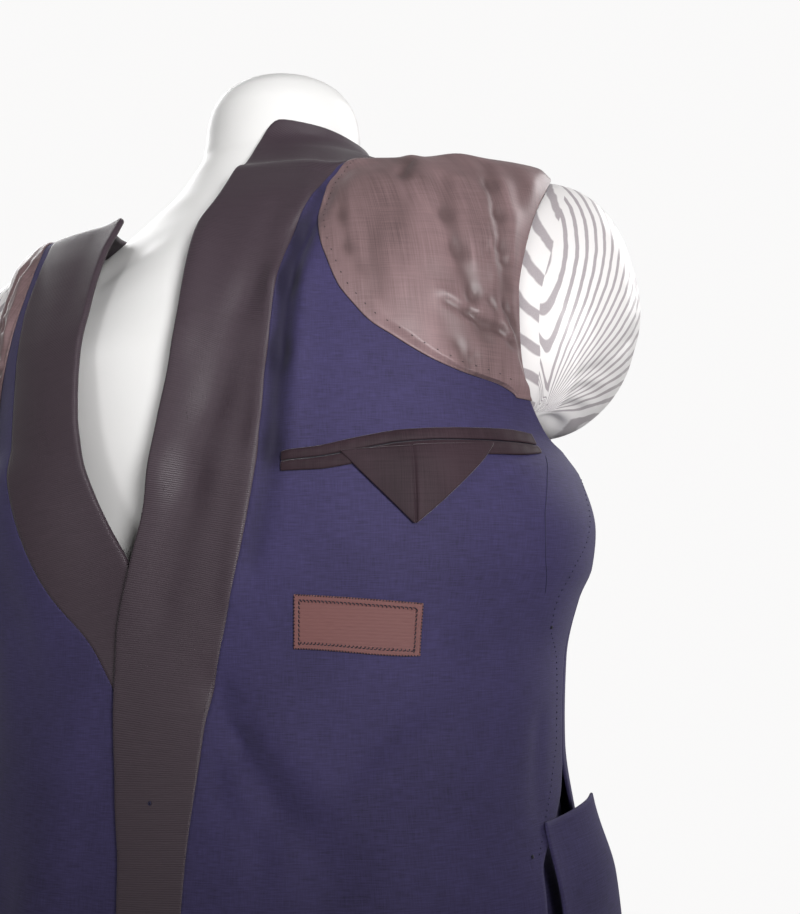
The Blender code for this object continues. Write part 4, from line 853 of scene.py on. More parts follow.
def tube_faces(start, rings):
    """Faces of a closed tube of rings with THREAD_SIDES points each, numbered from start."""
    sides = THREAD_SIDES
    faces = []
    for ring in range(rings - 1):
        for k in range(sides):
            p = start + ring * sides + k
            q = start + ring * sides + (k + 1) % sides
            faces.append((p, q, q + sides, p + sides))
    last = start + (rings - 1) * sides
    faces.append(tuple(start + k for k in range(sides))[::-1])
    faces.append(tuple(last + k for k in range(sides)))
    return faces


def threads(name, ends, radius, mat, lift):
    """Short bowed stitches as one mesh: each from a to b, standing proud by lift along its normal."""
    verts = []
    faces = []
    for a, b, normal in ends:
        a, b, normal = (np.asarray(p, float) for p in (a, b, normal))
        along = b - a
        length = np.linalg.norm(along)
        along = along / length
        across = np.cross(normal, along)
        faces += tube_faces(len(verts), len(STITCH))
        for t, up, fat in STITCH:
            centre = a + along * length * t + normal * lift * up
            for k in range(THREAD_SIDES):
                turn = 2 * math.pi * k / THREAD_SIDES
                ring = across * math.cos(turn) + normal * math.sin(turn)
                verts.append(centre + ring * radius * fat)
    obj = new_object(name, np.array(verts), faces, mat)
    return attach(obj, "root")


def strand(name, points, radius, mat):
    """A thin closed tube through points of the skin, for a seam line."""
    points = np.asarray(points, float)
    tangent = np.gradient(points, axis=0)
    tangent = tangent / np.linalg.norm(tangent, axis=1, keepdims=True)
    helper = np.array([0.31, 0.17, 0.93])
    one = np.cross(tangent, helper)
    one = one / np.linalg.norm(one, axis=1, keepdims=True)
    two = np.cross(tangent, one)
    turn = 2 * np.pi * np.arange(THREAD_SIDES) / THREAD_SIDES
    ring = one[:, None] * np.cos(turn)[None, :, None] + two[:, None] * np.sin(turn)[None, :, None]
    verts = (points[:, None] + ring * radius).reshape(-1, 3)
    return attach(new_object(name, verts, tube_faces(0, len(points)), mat), "root")


# ---------------------------------------------------------------- materials
def new_material(name, colour, roughness, specular=0.5):
    """Material with its Principled shader."""
    mat = bpy.data.materials.new(name)
    mat.use_nodes = True
    shader = mat.node_tree.nodes["Principled BSDF"]
    shader.inputs["Base Color"].default_value = (*colour, 1.0)
    shader.inputs["Roughness"].default_value = roughness
    shader.inputs["Specular IOR Level"].default_value = specular
    return mat, shader


def add(mat, kind, **settings):
    """New shader node of a material or a world."""
    made = mat.node_tree.nodes.new(kind)
    for key, value in settings.items():
        setattr(made, key, value)
    return made


def join(mat, out, into):
    """Link one socket to another."""
    mat.node_tree.links.new(out, into)


def calc(mat, operation, a, b=0.0, c=0.0):
    """One math node; an input is a number or another node's output."""
    made = add(mat, "ShaderNodeMath", operation=operation)
    for k, value in enumerate((a, b, c)):
        if isinstance(value, (int, float)):
            made.inputs[k].default_value = value
        else:
            join(mat, value, made.inputs[k])
    return made.outputs[0]


def flat_axes(mat):
    """The two flat coordinates of the cloth, in metres."""
    uv = add(mat, "ShaderNodeUVMap", uv_map="cloth")
    apart = add(mat, "ShaderNodeSeparateXYZ")
    join(mat, uv.outputs[0], apart.inputs[0])
    return uv.outputs[0], apart.outputs[0], apart.outputs[1]


def wave(mat, along, pitch):
    """0 to 1 wave with that pitch in metres."""
    turned = calc(mat, "SINE", calc(mat, "MULTIPLY", along, 2 * math.pi / pitch))
    return calc(mat, "MULTIPLY_ADD", turned, 0.5, 0.5)


def streaks(mat, uv, scale_u, scale_v, detail=2.0):
    """Noise drawn out along one thread direction."""
    stretch = add(mat, "ShaderNodeMapping")
    stretch.inputs["Scale"].default_value = (scale_u, scale_v, 1.0)
    join(mat, uv, stretch.inputs["Vector"])
    noise = add(mat, "ShaderNodeTexNoise")
    noise.inputs["Scale"].default_value = 1.0
    noise.inputs["Detail"].default_value = detail
    noise.inputs["Roughness"].default_value = 0.55
    join(mat, stretch.outputs[0], noise.inputs["Vector"])
    return noise.outputs["Fac"]


def grain(mat, place, scale, detail=2.0):
    """Even noise at a place on the object."""
    noise = add(mat, "ShaderNodeTexNoise")
    noise.inputs["Scale"].default_value = scale
    noise.inputs["Detail"].default_value = detail
    join(mat, place, noise.inputs["Vector"])
    return noise.outputs["Fac"]


def tint(mat, factor, dark, light):
    """Colour between dark and light by a node output from 0 to 1."""
    mix = add(mat, "ShaderNodeMix", data_type="RGBA")
    factor_in = next(s for s in mix.inputs if s.name == "Factor" and s.type == "VALUE")
    dark_in, light_in = [s for s in mix.inputs if s.type == "RGBA"]
    join(mat, factor, factor_in)
    dark_in.default_value = (*dark, 1.0)
    light_in.default_value = (*light, 1.0)
    return next(s for s in mix.outputs if s.type == "RGBA")


def tone_with_painted_shade(mat, tone, shade):
    """Lower a tone where the cloth lies in a trough: painted shade in its folds and creases."""
    painted_shade = add(mat, "ShaderNodeAttribute", attribute_name="trough").outputs["Fac"]
    return calc(mat, "MULTIPLY", tone, calc(mat, "MULTIPLY_ADD", painted_shade, -shade, 1.0))


def mark_troughs(obj, table, full):
    """Store how deep every point lies in a trough of a fold table, from 0 to 1, as the amount of painted
    shade.
    """
    mesh = obj.data
    places = np.zeros(len(mesh.vertices) * 3)
    mesh.vertices.foreach_get("co", places)
    x, y, z = places.reshape(-1, 3).T
    path = np.where(z < SHOULDER_Z - 0.01, v_of_z(z), SHOULDER_V)
    phi = np.degrees(np.arctan2(y - column(SKIN, 5, path), x))
    deep = np.clip(-folds_at(table, phi, z) / full, 0.0, 1.0)
    mesh.attributes.new("trough", "FLOAT", "POINT").data.foreach_set("value", deep)
    return obj


def bump(mat, shader, height, distance, strength=1.0):
    """Fine relief of the weave."""
    made = add(mat, "ShaderNodeBump")
    made.inputs["Strength"].default_value = strength
    made.inputs["Distance"].default_value = distance
    join(mat, height, made.inputs["Height"])
    join(mat, made.outputs[0], shader.inputs["Normal"])


def sheen(shader, weight, roughness=0.5, colour=(1.0, 1.0, 1.0)):
    """Constant sheen of a cloth."""
    shader.inputs["Sheen Weight"].default_value = weight
    shader.inputs["Sheen Roughness"].default_value = roughness
    shader.inputs["Sheen Tint"].default_value = (*colour, 1.0)


def average(mat, parts):
    """Weighted sum of node outputs."""
    total = 0.0
    for value, weight in parts:
        total = calc(mat, "MULTIPLY_ADD", value, weight, total)
    return total


def wool_material():
    """Navy plain weave, slightly uneven, with painted shade in the valley beside the shawl's seam."""
    mat, shader = new_material("Wool and mohair", WOOL_LIGHT, 0.78, 0.30)
    uv, u, v = flat_axes(mat)
    weft = streaks(mat, uv, 90.0, 1500.0, 3.0)
    warp = streaks(mat, uv, 1500.0, 90.0, 3.0)
    cloud = streaks(mat, uv, 14.0, 14.0, 4.0)
    plain = calc(mat, "MULTIPLY", wave(mat, u, WOOL_PITCH), wave(mat, v, WOOL_PITCH))
    shade = average(mat, [(weft, 0.55), (warp, 0.35), (cloud, 0.25), (plain, 0.10)])
    span = calc(mat, "SMOOTH_MIN", calc(mat, "MULTIPLY_ADD", shade, 1.9, -0.75), 1.0, 0.1)
    # painted shade in the valley
    painted_shade = tone_with_painted_shade(mat, calc(mat, "ADD", span, WOOL_FLOOR), 0.80)
    join(mat, tint(mat, painted_shade, WOOL_DARK, WOOL_LIGHT), shader.inputs["Base Color"])
    sheen(shader, 0.10, 0.45, (0.62, 0.60, 0.80))
    bump(mat, shader, average(mat, [(weft, 0.5), (warp, 0.4), (plain, 0.5)]), 0.00025, 0.35)
    return mat


def ribbed_material():
    """Cross-ribbed silk of the facing."""
    mat, shader = new_material("Ribbed facing", RIB_LIGHT, 0.55, 0.40)
    uv, _, v = flat_axes(mat)
    drift = streaks(mat, uv, 60.0, 380.0, 2.0)
    bent = calc(mat, "MULTIPLY_ADD", drift, 0.0007, v)
    ribs = wave(mat, bent, RIB_PITCH)
    threads_seen = streaks(mat, uv, 1300.0, 140.0, 2.0)
    shade = average(mat, [(ribs, 0.40), (threads_seen, 0.35), (drift, 0.35)])
    join(mat, tint(mat, shade, RIB_DARK, RIB_LIGHT), shader.inputs["Base Color"])
    rough = calc(mat, "MULTIPLY_ADD", threads_seen, 0.16, 0.44)
    join(mat, rough, shader.inputs["Roughness"])
    sheen(shader, 0.10, 0.35)
    bump(mat, shader, average(mat, [(ribs, 0.8), (threads_seen, 0.3)]), 0.00040, 0.35)
    return mat


def satin_material(name, dark, light, roughness, specular):
    """Satin with long warp streaks and painted shade in its creases."""
    mat, shader = new_material(name, light, roughness, specular)
    uv = flat_axes(mat)[0]
    warp = streaks(mat, uv, 1900.0, 26.0, 2.0)
    weft = streaks(mat, uv, 40.0, 1500.0, 2.0)
    cloud = streaks(mat, uv, 22.0, 9.0, 3.0)
    shade = average(mat, [(warp, 0.34), (weft, 0.22), (cloud, 0.64)])
    span = calc(mat, "MULTIPLY_ADD", shade, 2.3, -0.90)
    # painted shade in the creases
    painted_shade = tone_with_painted_shade(mat, calc(mat, "MAXIMUM", span, 0.0), 0.65)
    join(mat, tint(mat, painted_shade, dark, light), shader.inputs["Base Color"])
    rough = calc(mat, "MULTIPLY_ADD", warp, 0.14, roughness - 0.07)
    join(mat, rough, shader.inputs["Roughness"])
    sheen(shader, 0.18, 0.30)
    bump(mat, shader, average(mat, [(warp, 0.5), (weft, 0.4)]), 0.00012, 0.5)
    return mat


def striped_material():
    """White lining with grey stripes; its first flat coordinate counts the stripes."""
    mat, shader = new_material("Striped lining", STRIPE_WHITE, 0.42, 0.45)
    count = flat_axes(mat)[1]
    place = add(mat, "ShaderNodeTexCoord").outputs["Object"]
    cloud = grain(mat, place, 60.0)
    weave = grain(mat, place, 1500.0)
    number = calc(mat, "MULTIPLY_ADD", cloud, 0.32, count)
    off = calc(mat, "PINGPONG", calc(mat, "ADD", number, 40.0), 0.5)
    edge_in = calc(mat, "SUBTRACT", STRIPE_SHARE / 2, off)
    mask = calc(mat, "MULTIPLY_ADD", edge_in, 18.0, 0.5)
    mask = calc(mat, "MINIMUM", calc(mat, "MAXIMUM", mask, 0.0), 1.0)
    tone = calc(mat, "MULTIPLY", mask, calc(mat, "MULTIPLY_ADD", weave, 0.24, 0.76))
    join(mat, tint(mat, tone, STRIPE_WHITE, STRIPE_GREY), shader.inputs["Base Color"])
    rough = calc(mat, "MULTIPLY_ADD", cloud, 0.14, 0.34)
    join(mat, rough, shader.inputs["Roughness"])
    sheen(shader, 0.15)
    bump(mat, shader, weave, 0.00008, 0.5)
    return mat


def form_material():
    """Satin white of the form, with faint clouds."""
    mat, shader = new_material("Form white", FORM_LIGHT, 0.42, 0.45)
    place = add(mat, "ShaderNodeTexCoord").outputs["Object"]
    cloud = grain(mat, place, 14.0, 3.0)
    fine = grain(mat, place, 900.0)
    join(mat, tint(mat, cloud, FORM_DARK, FORM_LIGHT), shader.inputs["Base Color"])
    rough = calc(mat, "MULTIPLY_ADD", cloud, 0.14, 0.36)
    join(mat, rough, shader.inputs["Roughness"])
    bump(mat, shader, fine, 0.00006, 0.4)
    return mat


def label_material():
    """Woven label with fine rows."""
    mat, shader = new_material("Woven label", LABEL_LIGHT, 0.62, 0.35)
    uv, _, v = flat_axes(mat)
    weft = streaks(mat, uv, 150.0, 2200.0, 2.0)
    rows = wave(mat, v, LABEL_PITCH)
    shade = average(mat, [(weft, 0.6), (rows, 0.4)])
    join(mat, tint(mat, shade, LABEL_DARK, LABEL_LIGHT), shader.inputs["Base Color"])
    bump(mat, shader, average(mat, [(rows, 0.6), (weft, 0.5)]), 0.00020, 0.6)
    sheen(shader, 0.12)
    return mat


def thread_material(name, dark, light):
    """Twisted thread, also used for the button's horn and for the painted shade in the pocket's slit."""
    mat, shader = new_material(name, light, 0.6, 0.4)
    place = add(mat, "ShaderNodeTexCoord").outputs["Object"]
    twist = grain(mat, place, 1400.0)
    join(mat, tint(mat, twist, dark, light), shader.inputs["Base Color"])
    bump(mat, shader, twist, 0.00008, 0.6)
    return mat


def floor_material():
    """Pale floor with hardly any cloud."""
    mat, shader = new_material("Pale floor", FLOOR_LIGHT, 0.9, 0.2)
    place = add(mat, "ShaderNodeTexCoord").outputs["Object"]
    join(mat, tint(mat, grain(mat, place, 3.0), FLOOR_DARK, FLOOR_LIGHT), shader.inputs["Base Color"])
    return mat


# ---------------------------------------------------------------- form
def make_form(mat):
    """The white form in full smoothness."""
    z = np.concatenate([np.linspace(0.0, 0.56, 40), np.linspace(0.565, 0.80, 70),
                        np.linspace(0.803, 0.8645, 40)])
    phi = np.linspace(0, 360, 161)[:-1]
    grid = form_point(phi[None, :], z[:, None])
    rows, cols = grid.shape[:2]
    verts = np.concatenate([grid.reshape(-1, 3), [grid[0].mean(0), grid[-1].mean(0)]])
    faces = grid_quads(rows, cols, True)[0].tolist()
    for j in range(cols):
        k = (j + 1) % cols
        faces.append((k, j, len(verts) - 2))
        faces.append(((rows - 1) * cols + j, (rows - 1) * cols + k, len(verts) - 1))
    obj = new_object("dress_form_skin", verts, faces, mat)
    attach(obj, "root")
    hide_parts("dress_form")
    return obj


# ---------------------------------------------------------------- panels
def panel_rows(low):
    """Paths of a panel's rows, closer together at the top and the bottom of the armhole."""
    rows = np.concatenate([np.linspace(low, HEM_V, 190), np.linspace(0.1352, 0.150, 10),
                           np.linspace(0.316, 0.3305, 9)])
    return np.unique(np.round(rows[rows >= low - 1e-9], 6))


def front_angles(side, cols):
    """Angles and paths of a dense front, from its outer edge to just short of the facing seam."""
    v = panel_rows(TOP_V[side])
    seam, fold, fold_v = shawl_at(v, side)[:3]
    length = np.linalg.norm(bare_skin(seam, v) - bare_skin(fold, fold_v), axis=-1)
    start = 0.030 if side > 0 else TOP_V[-1]
    apart = 0.00045 + 0.0011 * smooth((start + 0.02 - v) / 0.02)
    inner = seam + (seam - fold) * apart / length
    inner_v = v + (v - fold_v) * apart / length
    outer = hole_edge(v, True) - SEAM_DEG
    outer_v = v.copy()
    outer_v[0] = shawl_behind(-0.1, side)[0] + 0.0006
    t = np.linspace(0, 1, cols)[None, :]
    phi = outer[:, None] + (inner - outer)[:, None] * t
    return phi, outer_v[:, None] + (inner_v - outer_v)[:, None] * t


def make_front(side, mat):
    """Wool front."""
    tag = TAG[side]
    phi, v = front_angles(side, FRONT_COLS)
    lift = wool_lift(phi, v) if side > 0 else 0.0
    base = lift - sink(phi, v, side)
    obj, high = cloth_on_skin("front_wool_" + tag, phi, v, side, base, SHELL, mat)
    return finish_cloth(obj, high, "front_" + tag)


def back_angles(side):
    """Angles and paths of a dense back, from its outer edge to the centre back."""
    first = np.linspace(0.10, BACK_PHI, BACK_COLS)
    seam_v = shawl_behind(first, side)[0]
    reach = np.linalg.norm(bare_skin(first, seam_v + 0.001) - bare_skin(first, seam_v), axis=-1)
    top = seam_v + 0.0016 * 0.001 / reach
    rows = panel_rows(top[0])
    w = (rows - rows[0]) / (rows[-1] - rows[0])
    v = top[None, :] + (rows[-1] - top)[None, :] * w[:, None]
    outer = hole_edge(rows, False)[:, None] + SEAM_DEG
    u = (first - first[0]) / (first[-1] - first[0])
    return outer + (first[-1] - outer) * u[None, :], v


def make_back(side, mat):
    """Wool back."""
    tag = TAG[side]
    phi, v = back_angles(side)
    obj, high = cloth_on_skin("back_wool_" + tag, phi, v, side, 0.0, SHELL, mat)
    return finish_cloth(obj, high, "back_" + tag)


# ---------------------------------------------------------------- shawl
def shawl_stations(side):
    """Hem to centre back: seam phi, seam v, fold phi, fold v, leaf width."""
    v = np.linspace(HEM_V, TOP_V[side], 210)
    seam, fold, fold_v, leaf = shawl_at(v, side)
    front = np.column_stack([seam, v, fold, fold_v, leaf])
    phi = np.linspace(float(seam[-1]), BACK_PHI, 70)[1:]
    seam_v, fold, fold_v, leaf = shawl_behind(phi, side)
    behind = np.column_stack([phi, seam_v, fold, fold_v, leaf])
    behind[-1, 2] = behind[-1, 0]
    return np.concatenate([front, behind])


def leaf_places(seam_phi, seam_v, fold_phi, fold_v, ratio):
    """Angles, paths and depths of the leaf turned under, from the fold back towards the seam."""
    if seam_phi > -0.5:
        knots = np.linspace(0.0, 1.6, LEAF_STEPS)
        phi = np.interp(knots, [0, 1, 2], [fold_phi, seam_phi, seam_phi])
        v = np.interp(knots, [0, 1, 2], [fold_v, seam_v, seam_v + 0.012])
    else:
        knots = ratio * np.linspace(0, 1, LEAF_STEPS)
        phi = fold_phi + (seam_phi - fold_phi) * knots
        v = np.clip(fold_v + (seam_v - fold_v) * knots, SKIN[0][0], SKIN[-1][0])
    lower = float(smooth((seam_v - 0.05) / 0.10) * smooth((0.42 - seam_v) / 0.10))
    return phi, v, (0.0010 + 0.0020 * lower) * smooth(knots * 1.5)


def shawl_faces(side):
    """Both faces of the shawl: band, rounded fold and leaf turned under, with their flat places."""
    half = 0.5 * FACING
    drop = FACING + LEAF_GAP
    faces = ([], [])
    places = []
    path = 0.0
    last = None
    for seam_phi, seam_v, fold_phi, fold_v, width in shawl_stations(side):
        t = np.linspace(0, 1, BAND_STEPS)
        phi = seam_phi + (fold_phi - seam_phi) * t
        v = seam_v + (fold_v - seam_v) * t
        band = [skin(mirror(phi, side), v, out - sink(phi, v, side)) for out in (FACING, 0.0)]
        middle = 0.5 * (band[0] + band[1])
        end_n = skin_normal(mirror(fold_phi, side), fold_v)
        fwd = middle[-1] - middle[-2]
        fwd = fwd - end_n * np.dot(fwd, end_n)
        fwd = fwd / np.linalg.norm(fwd)
        centre = middle[-1] - end_n * drop * 0.5
        total = np.linalg.norm(np.diff(middle, axis=0), axis=1).sum()
        phi, v, deep = leaf_places(seam_phi, seam_v, fold_phi, fold_v, width / total)
        low = half - sink(phi, v, side) - drop - deep
        for k, out in enumerate((half, -half)):
            arc = [centre + (drop * 0.5 + out) * (fwd * math.sin(a) + end_n * math.cos(a))
                   for a in np.linspace(0, math.pi, TURN_STEPS)[1:-1]]
            under = skin(mirror(phi, side), v, low - out)
            faces[k].append(np.concatenate([band[k], np.array(arc), under]))
        section = faces[0][-1]
        mark = middle[BAND_STEPS // 2]
        path += 0.0 if last is None else float(np.linalg.norm(mark - last))
        last = mark
        step = np.concatenate([[0.0], np.linalg.norm(np.diff(section, axis=0), axis=1)])
        places.append(np.stack([np.cumsum(step), np.full(len(section), path)], -1))
    return np.array(faces[0]), np.array(faces[1]), np.array(places)


def cut_buttonhole(obj):
    """Slim level buttonhole through the under front, where the button's shank passes."""
    v = float(v_of_z(BUTTON_Z))
    n = skin_normal(BUTTON_PHI, v)
    centre = skin(BUTTON_PHI, v, -HOLE_HALF[2])
    along = np.cross([0, 0, 1.0], n)
    along = along / np.linalg.norm(along)
    up = np.cross(n, along)
    corners = []
    for x in (-1, 1):
        for y in (-1, 1):
            for z in (-1, 1):
                level = along * x * HOLE_HALF[0] + up * y * HOLE_HALF[1]
                corners.append(centre + level + n * z * HOLE_HALF[2])
    faces = [(0, 1, 3, 2), (4, 6, 7, 5), (0, 4, 5, 1), (2, 3, 7, 6), (0, 2, 6, 4), (1, 5, 7, 3)]
    cutter = new_object("buttonhole_cutter", np.array(corners), faces, obj.data.materials[0], False)
    cutter_faces_out(cutter)
    hole = obj.modifiers.new("Buttonhole", "BOOLEAN")
    hole.operation = "DIFFERENCE"
    hole.object = cutter
    hole.solver = "EXACT"
    graph = bpy.context.evaluated_depsgraph_get()
    done = bpy.data.meshes.new_from_object(obj.evaluated_get(graph))
    obj.modifiers.clear()
    obj.data = done
    bpy.data.objects.remove(cutter, do_unlink=True)


def cutter_faces_out(obj):
    """Turn a box's faces outward."""
    verts = np.array([v.co for v in obj.data.vertices])
    quads = np.array([list(p.vertices) for p in obj.data.polygons])
    if signed_volume(verts - verts.mean(0), quads) < 0:
        obj.data.flip_normals()


def make_shawl(side, mat):
    """Ribbed shawl, with the buttonhole in the under front."""
    tag = TAG[side]
    outer, inner, places = shawl_faces(side)
    obj = cloth("shawl_ribbed_" + tag, inner, outer, places, mat)
    if side < 0:
        cut_buttonhole(obj)
    return finish_cloth(obj, outer, "shawl_" + tag)


# ---------------------------------------------------------------- shoulder lining
def knot_phi(v, side):
    """Angle of the free edge of the shoulder lining."""
    seam = shawl_at(v, side)[0]
    outer = hole_edge(v, True) - SEAM_DEG
    knot = column(LINING_R, 1, v)
    if side < 0:
        knot = outer + (knot - outer) * np.clip((seam - outer) / (shawl_at(v, 1)[0] - outer), 0, 1)
    knot = np.maximum(knot, seam + 2.0)
    return np.minimum(knot, outer - 0.08 * (outer - seam))


def lining_paths(side):
    """Rows close together where the free edge runs flat."""
    top = 0.030 if side > 0 else 0.115
    v = np.linspace(top, LINING_END, 900)
    edge = np.stack([np.radians(knot_phi(v, side)) * ROUND, v], -1)
    step = np.linalg.norm(np.diff(edge, axis=0), axis=1)
    way = np.concatenate([[0.0], np.cumsum(step)])
    return np.interp(np.linspace(0, way[-1], 170), way, v)


def front_share(t, v):
    """Share of its air that the front lining has, from its outer edge (t 0) to its free edge (t 1)."""
    sides = smooth((1 - t) / 0.14) * np.where(v < SHOULDER_V, 1.0, smooth(t / 0.10))
    return sides * smooth((LINING_END + 0.001 - v) / 0.010)


def lay_lining(side, end, phi, v, lift, mat):
    """Satin over a wool panel, standing off it by lift; end is front or back."""
    tag = end + "_" + TAG[side]
    base = SHELL + GAP + lift
    obj, high = cloth_on_skin("lining_" + tag, phi, v, side, base, LINING, mat)
    return finish_cloth(obj, high, "shoulder_lining_" + tag)


def make_lining_front(side, mat):
    """Satin lining of a front shoulder, sewn down at its edges, with small pulls at its free edge."""
    v = lining_paths(side)
    outer = hole_edge(v, True) - SEAM_DEG
    knot = knot_phi(v, side)
    t = np.linspace(0, 1, LINING_COLS)[None, :]
    phi = outer[:, None] + (knot - outer)[:, None] * t
    v = v[:, None] + 0 * t
    near_edge = np.exp(-((1 - t) / 0.10) ** 2) * smooth((1 - t) / 0.03)
    pulls = PULL_DEPTH * np.sin(2 * np.pi * v / PULL_PITCH) * near_edge
    lift = satin_lift(phi, v) * front_share(t, v) + np.maximum(pulls, 0.0)
    return lay_lining(side, "front", phi, v, lift, mat)


def make_lining_back(side, mat):
    """Satin lining of a back shoulder, sewn down on all its edges."""
    phi, v = back_angles(side)
    keep = v[:, 0] < LINING_END
    phi = phi[keep]
    v = v[keep].copy()
    v[0] = v[0] + (v[1] - v[0]) * 0.4
    t = np.linspace(0, 1, phi.shape[1])[None, :]
    sewn = np.where(v < SHOULDER_V, 1.0, smooth(t / 0.10)) * smooth((1 - t) / 0.06)
    sewn = sewn * smooth((LINING_END + 0.001 - v) / 0.012) * smooth((v - v[0]) / 0.012)
    return lay_lining(side, "back", phi, v, satin_lift(phi, v) * sewn, mat)


def edge_line(side, inset, low, high, pitch):
    """Points at even pitch along the lining's free edge, moved into the lining by inset."""
    v = np.linspace(low, high, 600)
    flat = np.stack([np.radians(knot_phi(v, side)) * ROUND, -v], -1)
    step = np.gradient(flat, axis=0)
    step = step / np.linalg.norm(step, axis=1, keepdims=True)
    inward = np.stack([-step[:, 1], step[:, 0]], -1)
    moved = flat + inward * inset
    way = np.concatenate([[0.0], np.cumsum(np.linalg.norm(np.diff(moved, axis=0), axis=1))])
    at = np.arange(0.5 * pitch, way[-1], pitch)
    x = np.interp(at, way, moved[:, 0])
    y = np.interp(at, way, moved[:, 1])
    dx = np.interp(at, way, step[:, 0])
    dy = np.interp(at, way, step[:, 1])
    return np.degrees(x / ROUND), -y, np.degrees(dx / ROUND), -dy


def satin_at(phi, v):
    """Lift of the right front lining at one point, with its sewn edges."""
    outer = float(hole_edge(v, True)) - SEAM_DEG
    knot = float(knot_phi(np.array([v]), 1)[0])
    share = float(front_share((phi - outer) / (knot - outer), v))
    return float(satin_lift(np.array(phi), np.array(v))) * share


# ---------------------------------------------------------------- sleeves
def path_of_height(z):
    """Path v of a height on the skin beside the armhole."""
    v = np.linspace(SHOULDER_V, UNDERARM_V, 1500)
    return np.interp(-np.asarray(z, float), -column(SKIN, 1, v), v)


def rim_points(s, side):
    """Rim of the sleeve, just inside the armhole, for turns s from the underarm up the front."""
    z = ARM_Z - ARM_HALF_H * np.cos(2 * np.pi * s)
    v = np.clip(path_of_height(z), SHOULDER_V + 1e-4, UNDERARM_V - 1e-4)
    phi = np.where(s <= 0.5, hole_edge(v, True), hole_edge(v, False))
    blend = np.minimum(s, 1 - s)
    phi = np.where(blend < RIM_SOFT, RIM_PHI + (phi - RIM_PHI) * smooth(blend / RIM_SOFT), phi)
    p = skin(mirror(phi, side), v)
    a = 2 * np.pi * s
    towards = np.stack([0 * a, np.sin(a), np.cos(a)], -1)
    low = smooth((0.27 - np.abs(s - np.round(s))) * 8.0)
    out = 0.0008 * (1 - low) - 0.0052 * low
    return p + 0.0030 * towards + np.stack([side * out, 0 * a, 0 * a], -1)


def mouth_points(s, side):
    """Where the sleeve turns in under the armhole."""
    front = s < 0.5
    turn = np.where(front, s, 1 - s)
    ahead, behind, reach, z = (column(MOUTH, k, turn) for k in (1, 2, 3, 4))
    y = ARM_Y - 0.001 + np.where(front, -reach, reach * 1.06)
    return np.stack([side * np.where(front, ahead, behind), y, z], -1)


def dome_points(s, t, side):
    """Bulge of the sleeve top over the form's shoulder stub, from the rim (t 0) to the mouth (t 1)."""
    p = rim_points(s, side)[None]
    q = mouth_points(s, side)[None]
    k = 0.5 * (1 - np.cos(2 * np.pi * s))
    up = k ** 0.78 * smooth((k - 0.10) / 0.25)
    side_y = -np.sin(2 * np.pi * s)
    c1 = p + np.stack([side * DOME_TOP * up, 0.004 * side_y * up, -0.016 * k], -1)[None]
    c2 = q + np.stack([side * DOME_LOW * up, 0.020 * side_y * up, -0.014 * up], -1)[None]
    t = t[..., None]
    return ((1 - t) ** 3 * p + 3 * t * (1 - t) ** 2 * c1 + 3 * t * t * (1 - t) * c2 + t ** 3 * q)


def tube_points(s, row, side):
    """Flattened sleeve hanging between the form and the side panel."""
    z, half_deg, deep, middle = row
    a = 2 * np.pi * s
    phi = 3.0 - half_deg * np.sin(a)
    depth = middle - deep * np.cos(a) * (1 - 0.35 * np.abs(np.sin(a)) ** 6)
    return skin(mirror(phi, side), np.full(len(s), float(v_of_z(z))), -depth)


def through(keys, steps):
    """Smooth rows of points through key rows, the first of which is left out."""
    keys = np.array(keys)
    slope = np.gradient(keys, axis=0)
    return np.array([cubic(keys[k], keys[k + 1], slope[k], slope[k + 1], t)
                     for k in range(len(keys) - 1) for t in np.linspace(0, 1, steps + 1)[1:]])


def sleeve_shares(s, over, seam_rows):
    """Shares of the way out of every row: the first rows run from the rim to the lining's seam."""
    seam = column(SLEEVE_SEAM, 1, s)[None, :]
    first = np.linspace(0, 1, seam_rows + 1)[:-1, None] * seam
    rest = seam + np.linspace(0, 1, over - seam_rows)[:, None] * (1 - seam)
    return np.concatenate([first, rest])


def puckers(s, t):
    """Pulled-in folds of the sleeve lining at a turn s and a share t out."""
    total = np.zeros(np.broadcast(s, t).shape)
    for at, share, half_s, half_t, slant, depth in PUCKERS:
        ds = s - at
        dt = t - share - slant * ds
        total += depth * np.exp(-(ds / half_s) ** 2 - (dt / half_t) ** 2)
    return total


def surface_normals(grid, side):
    """Normals of a grid that is closed around, towards the lined side of a sleeve."""
    du = np.roll(grid, -1, 1) - np.roll(grid, 1, 1)
    dv = np.gradient(grid, axis=0)
    n = np.cross(du, dv)
    n = n / (np.linalg.norm(n, axis=-1, keepdims=True) + 1e-12)
    return -n * side


def sleeve_surface(side):
    """Turns, points and normals of the surface between a sleeve and its lining."""
    s = np.linspace(0, 1, SLEEVE_TURNS + 1)[:-1]
    t = sleeve_shares(s, SLEEVE_OVER, SEAM_ROWS)
    dome = dome_points(s, t, side)
    tubes = [tube_points(s, row, side) for row in TUBE]
    hang = through([dome[-1]] + tubes, TUBE_STEPS)
    grid = np.concatenate([dome, hang])
    lift = np.zeros(grid.shape[:2])
    lift[:len(dome)] = puckers(s[None, :], t) * smooth(t / 0.06) * smooth((1 - t) / 0.06)
    n = surface_normals(grid, side)
    return s, grid + n * lift[..., None], n


def powers(one, two, degree):
    """Products of two coordinates up to a degree, for a smooth fit."""
    return np.stack([one ** i * two ** j for i in range(degree + 1) for j in range(degree + 1 - i)], -1)


def about_focus(across, up):
    """Angle and distance of a place about the point where the stripes run together, both near 0 to 1."""
    dx = across - STRIPE_FOCUS[0]
    dz = up - STRIPE_FOCUS[1]
    return np.clip(np.arctan2(dz, dx), -0.2, 1.9), np.clip(np.hypot(dx, dz) / 0.16, 0.05, 1.1)


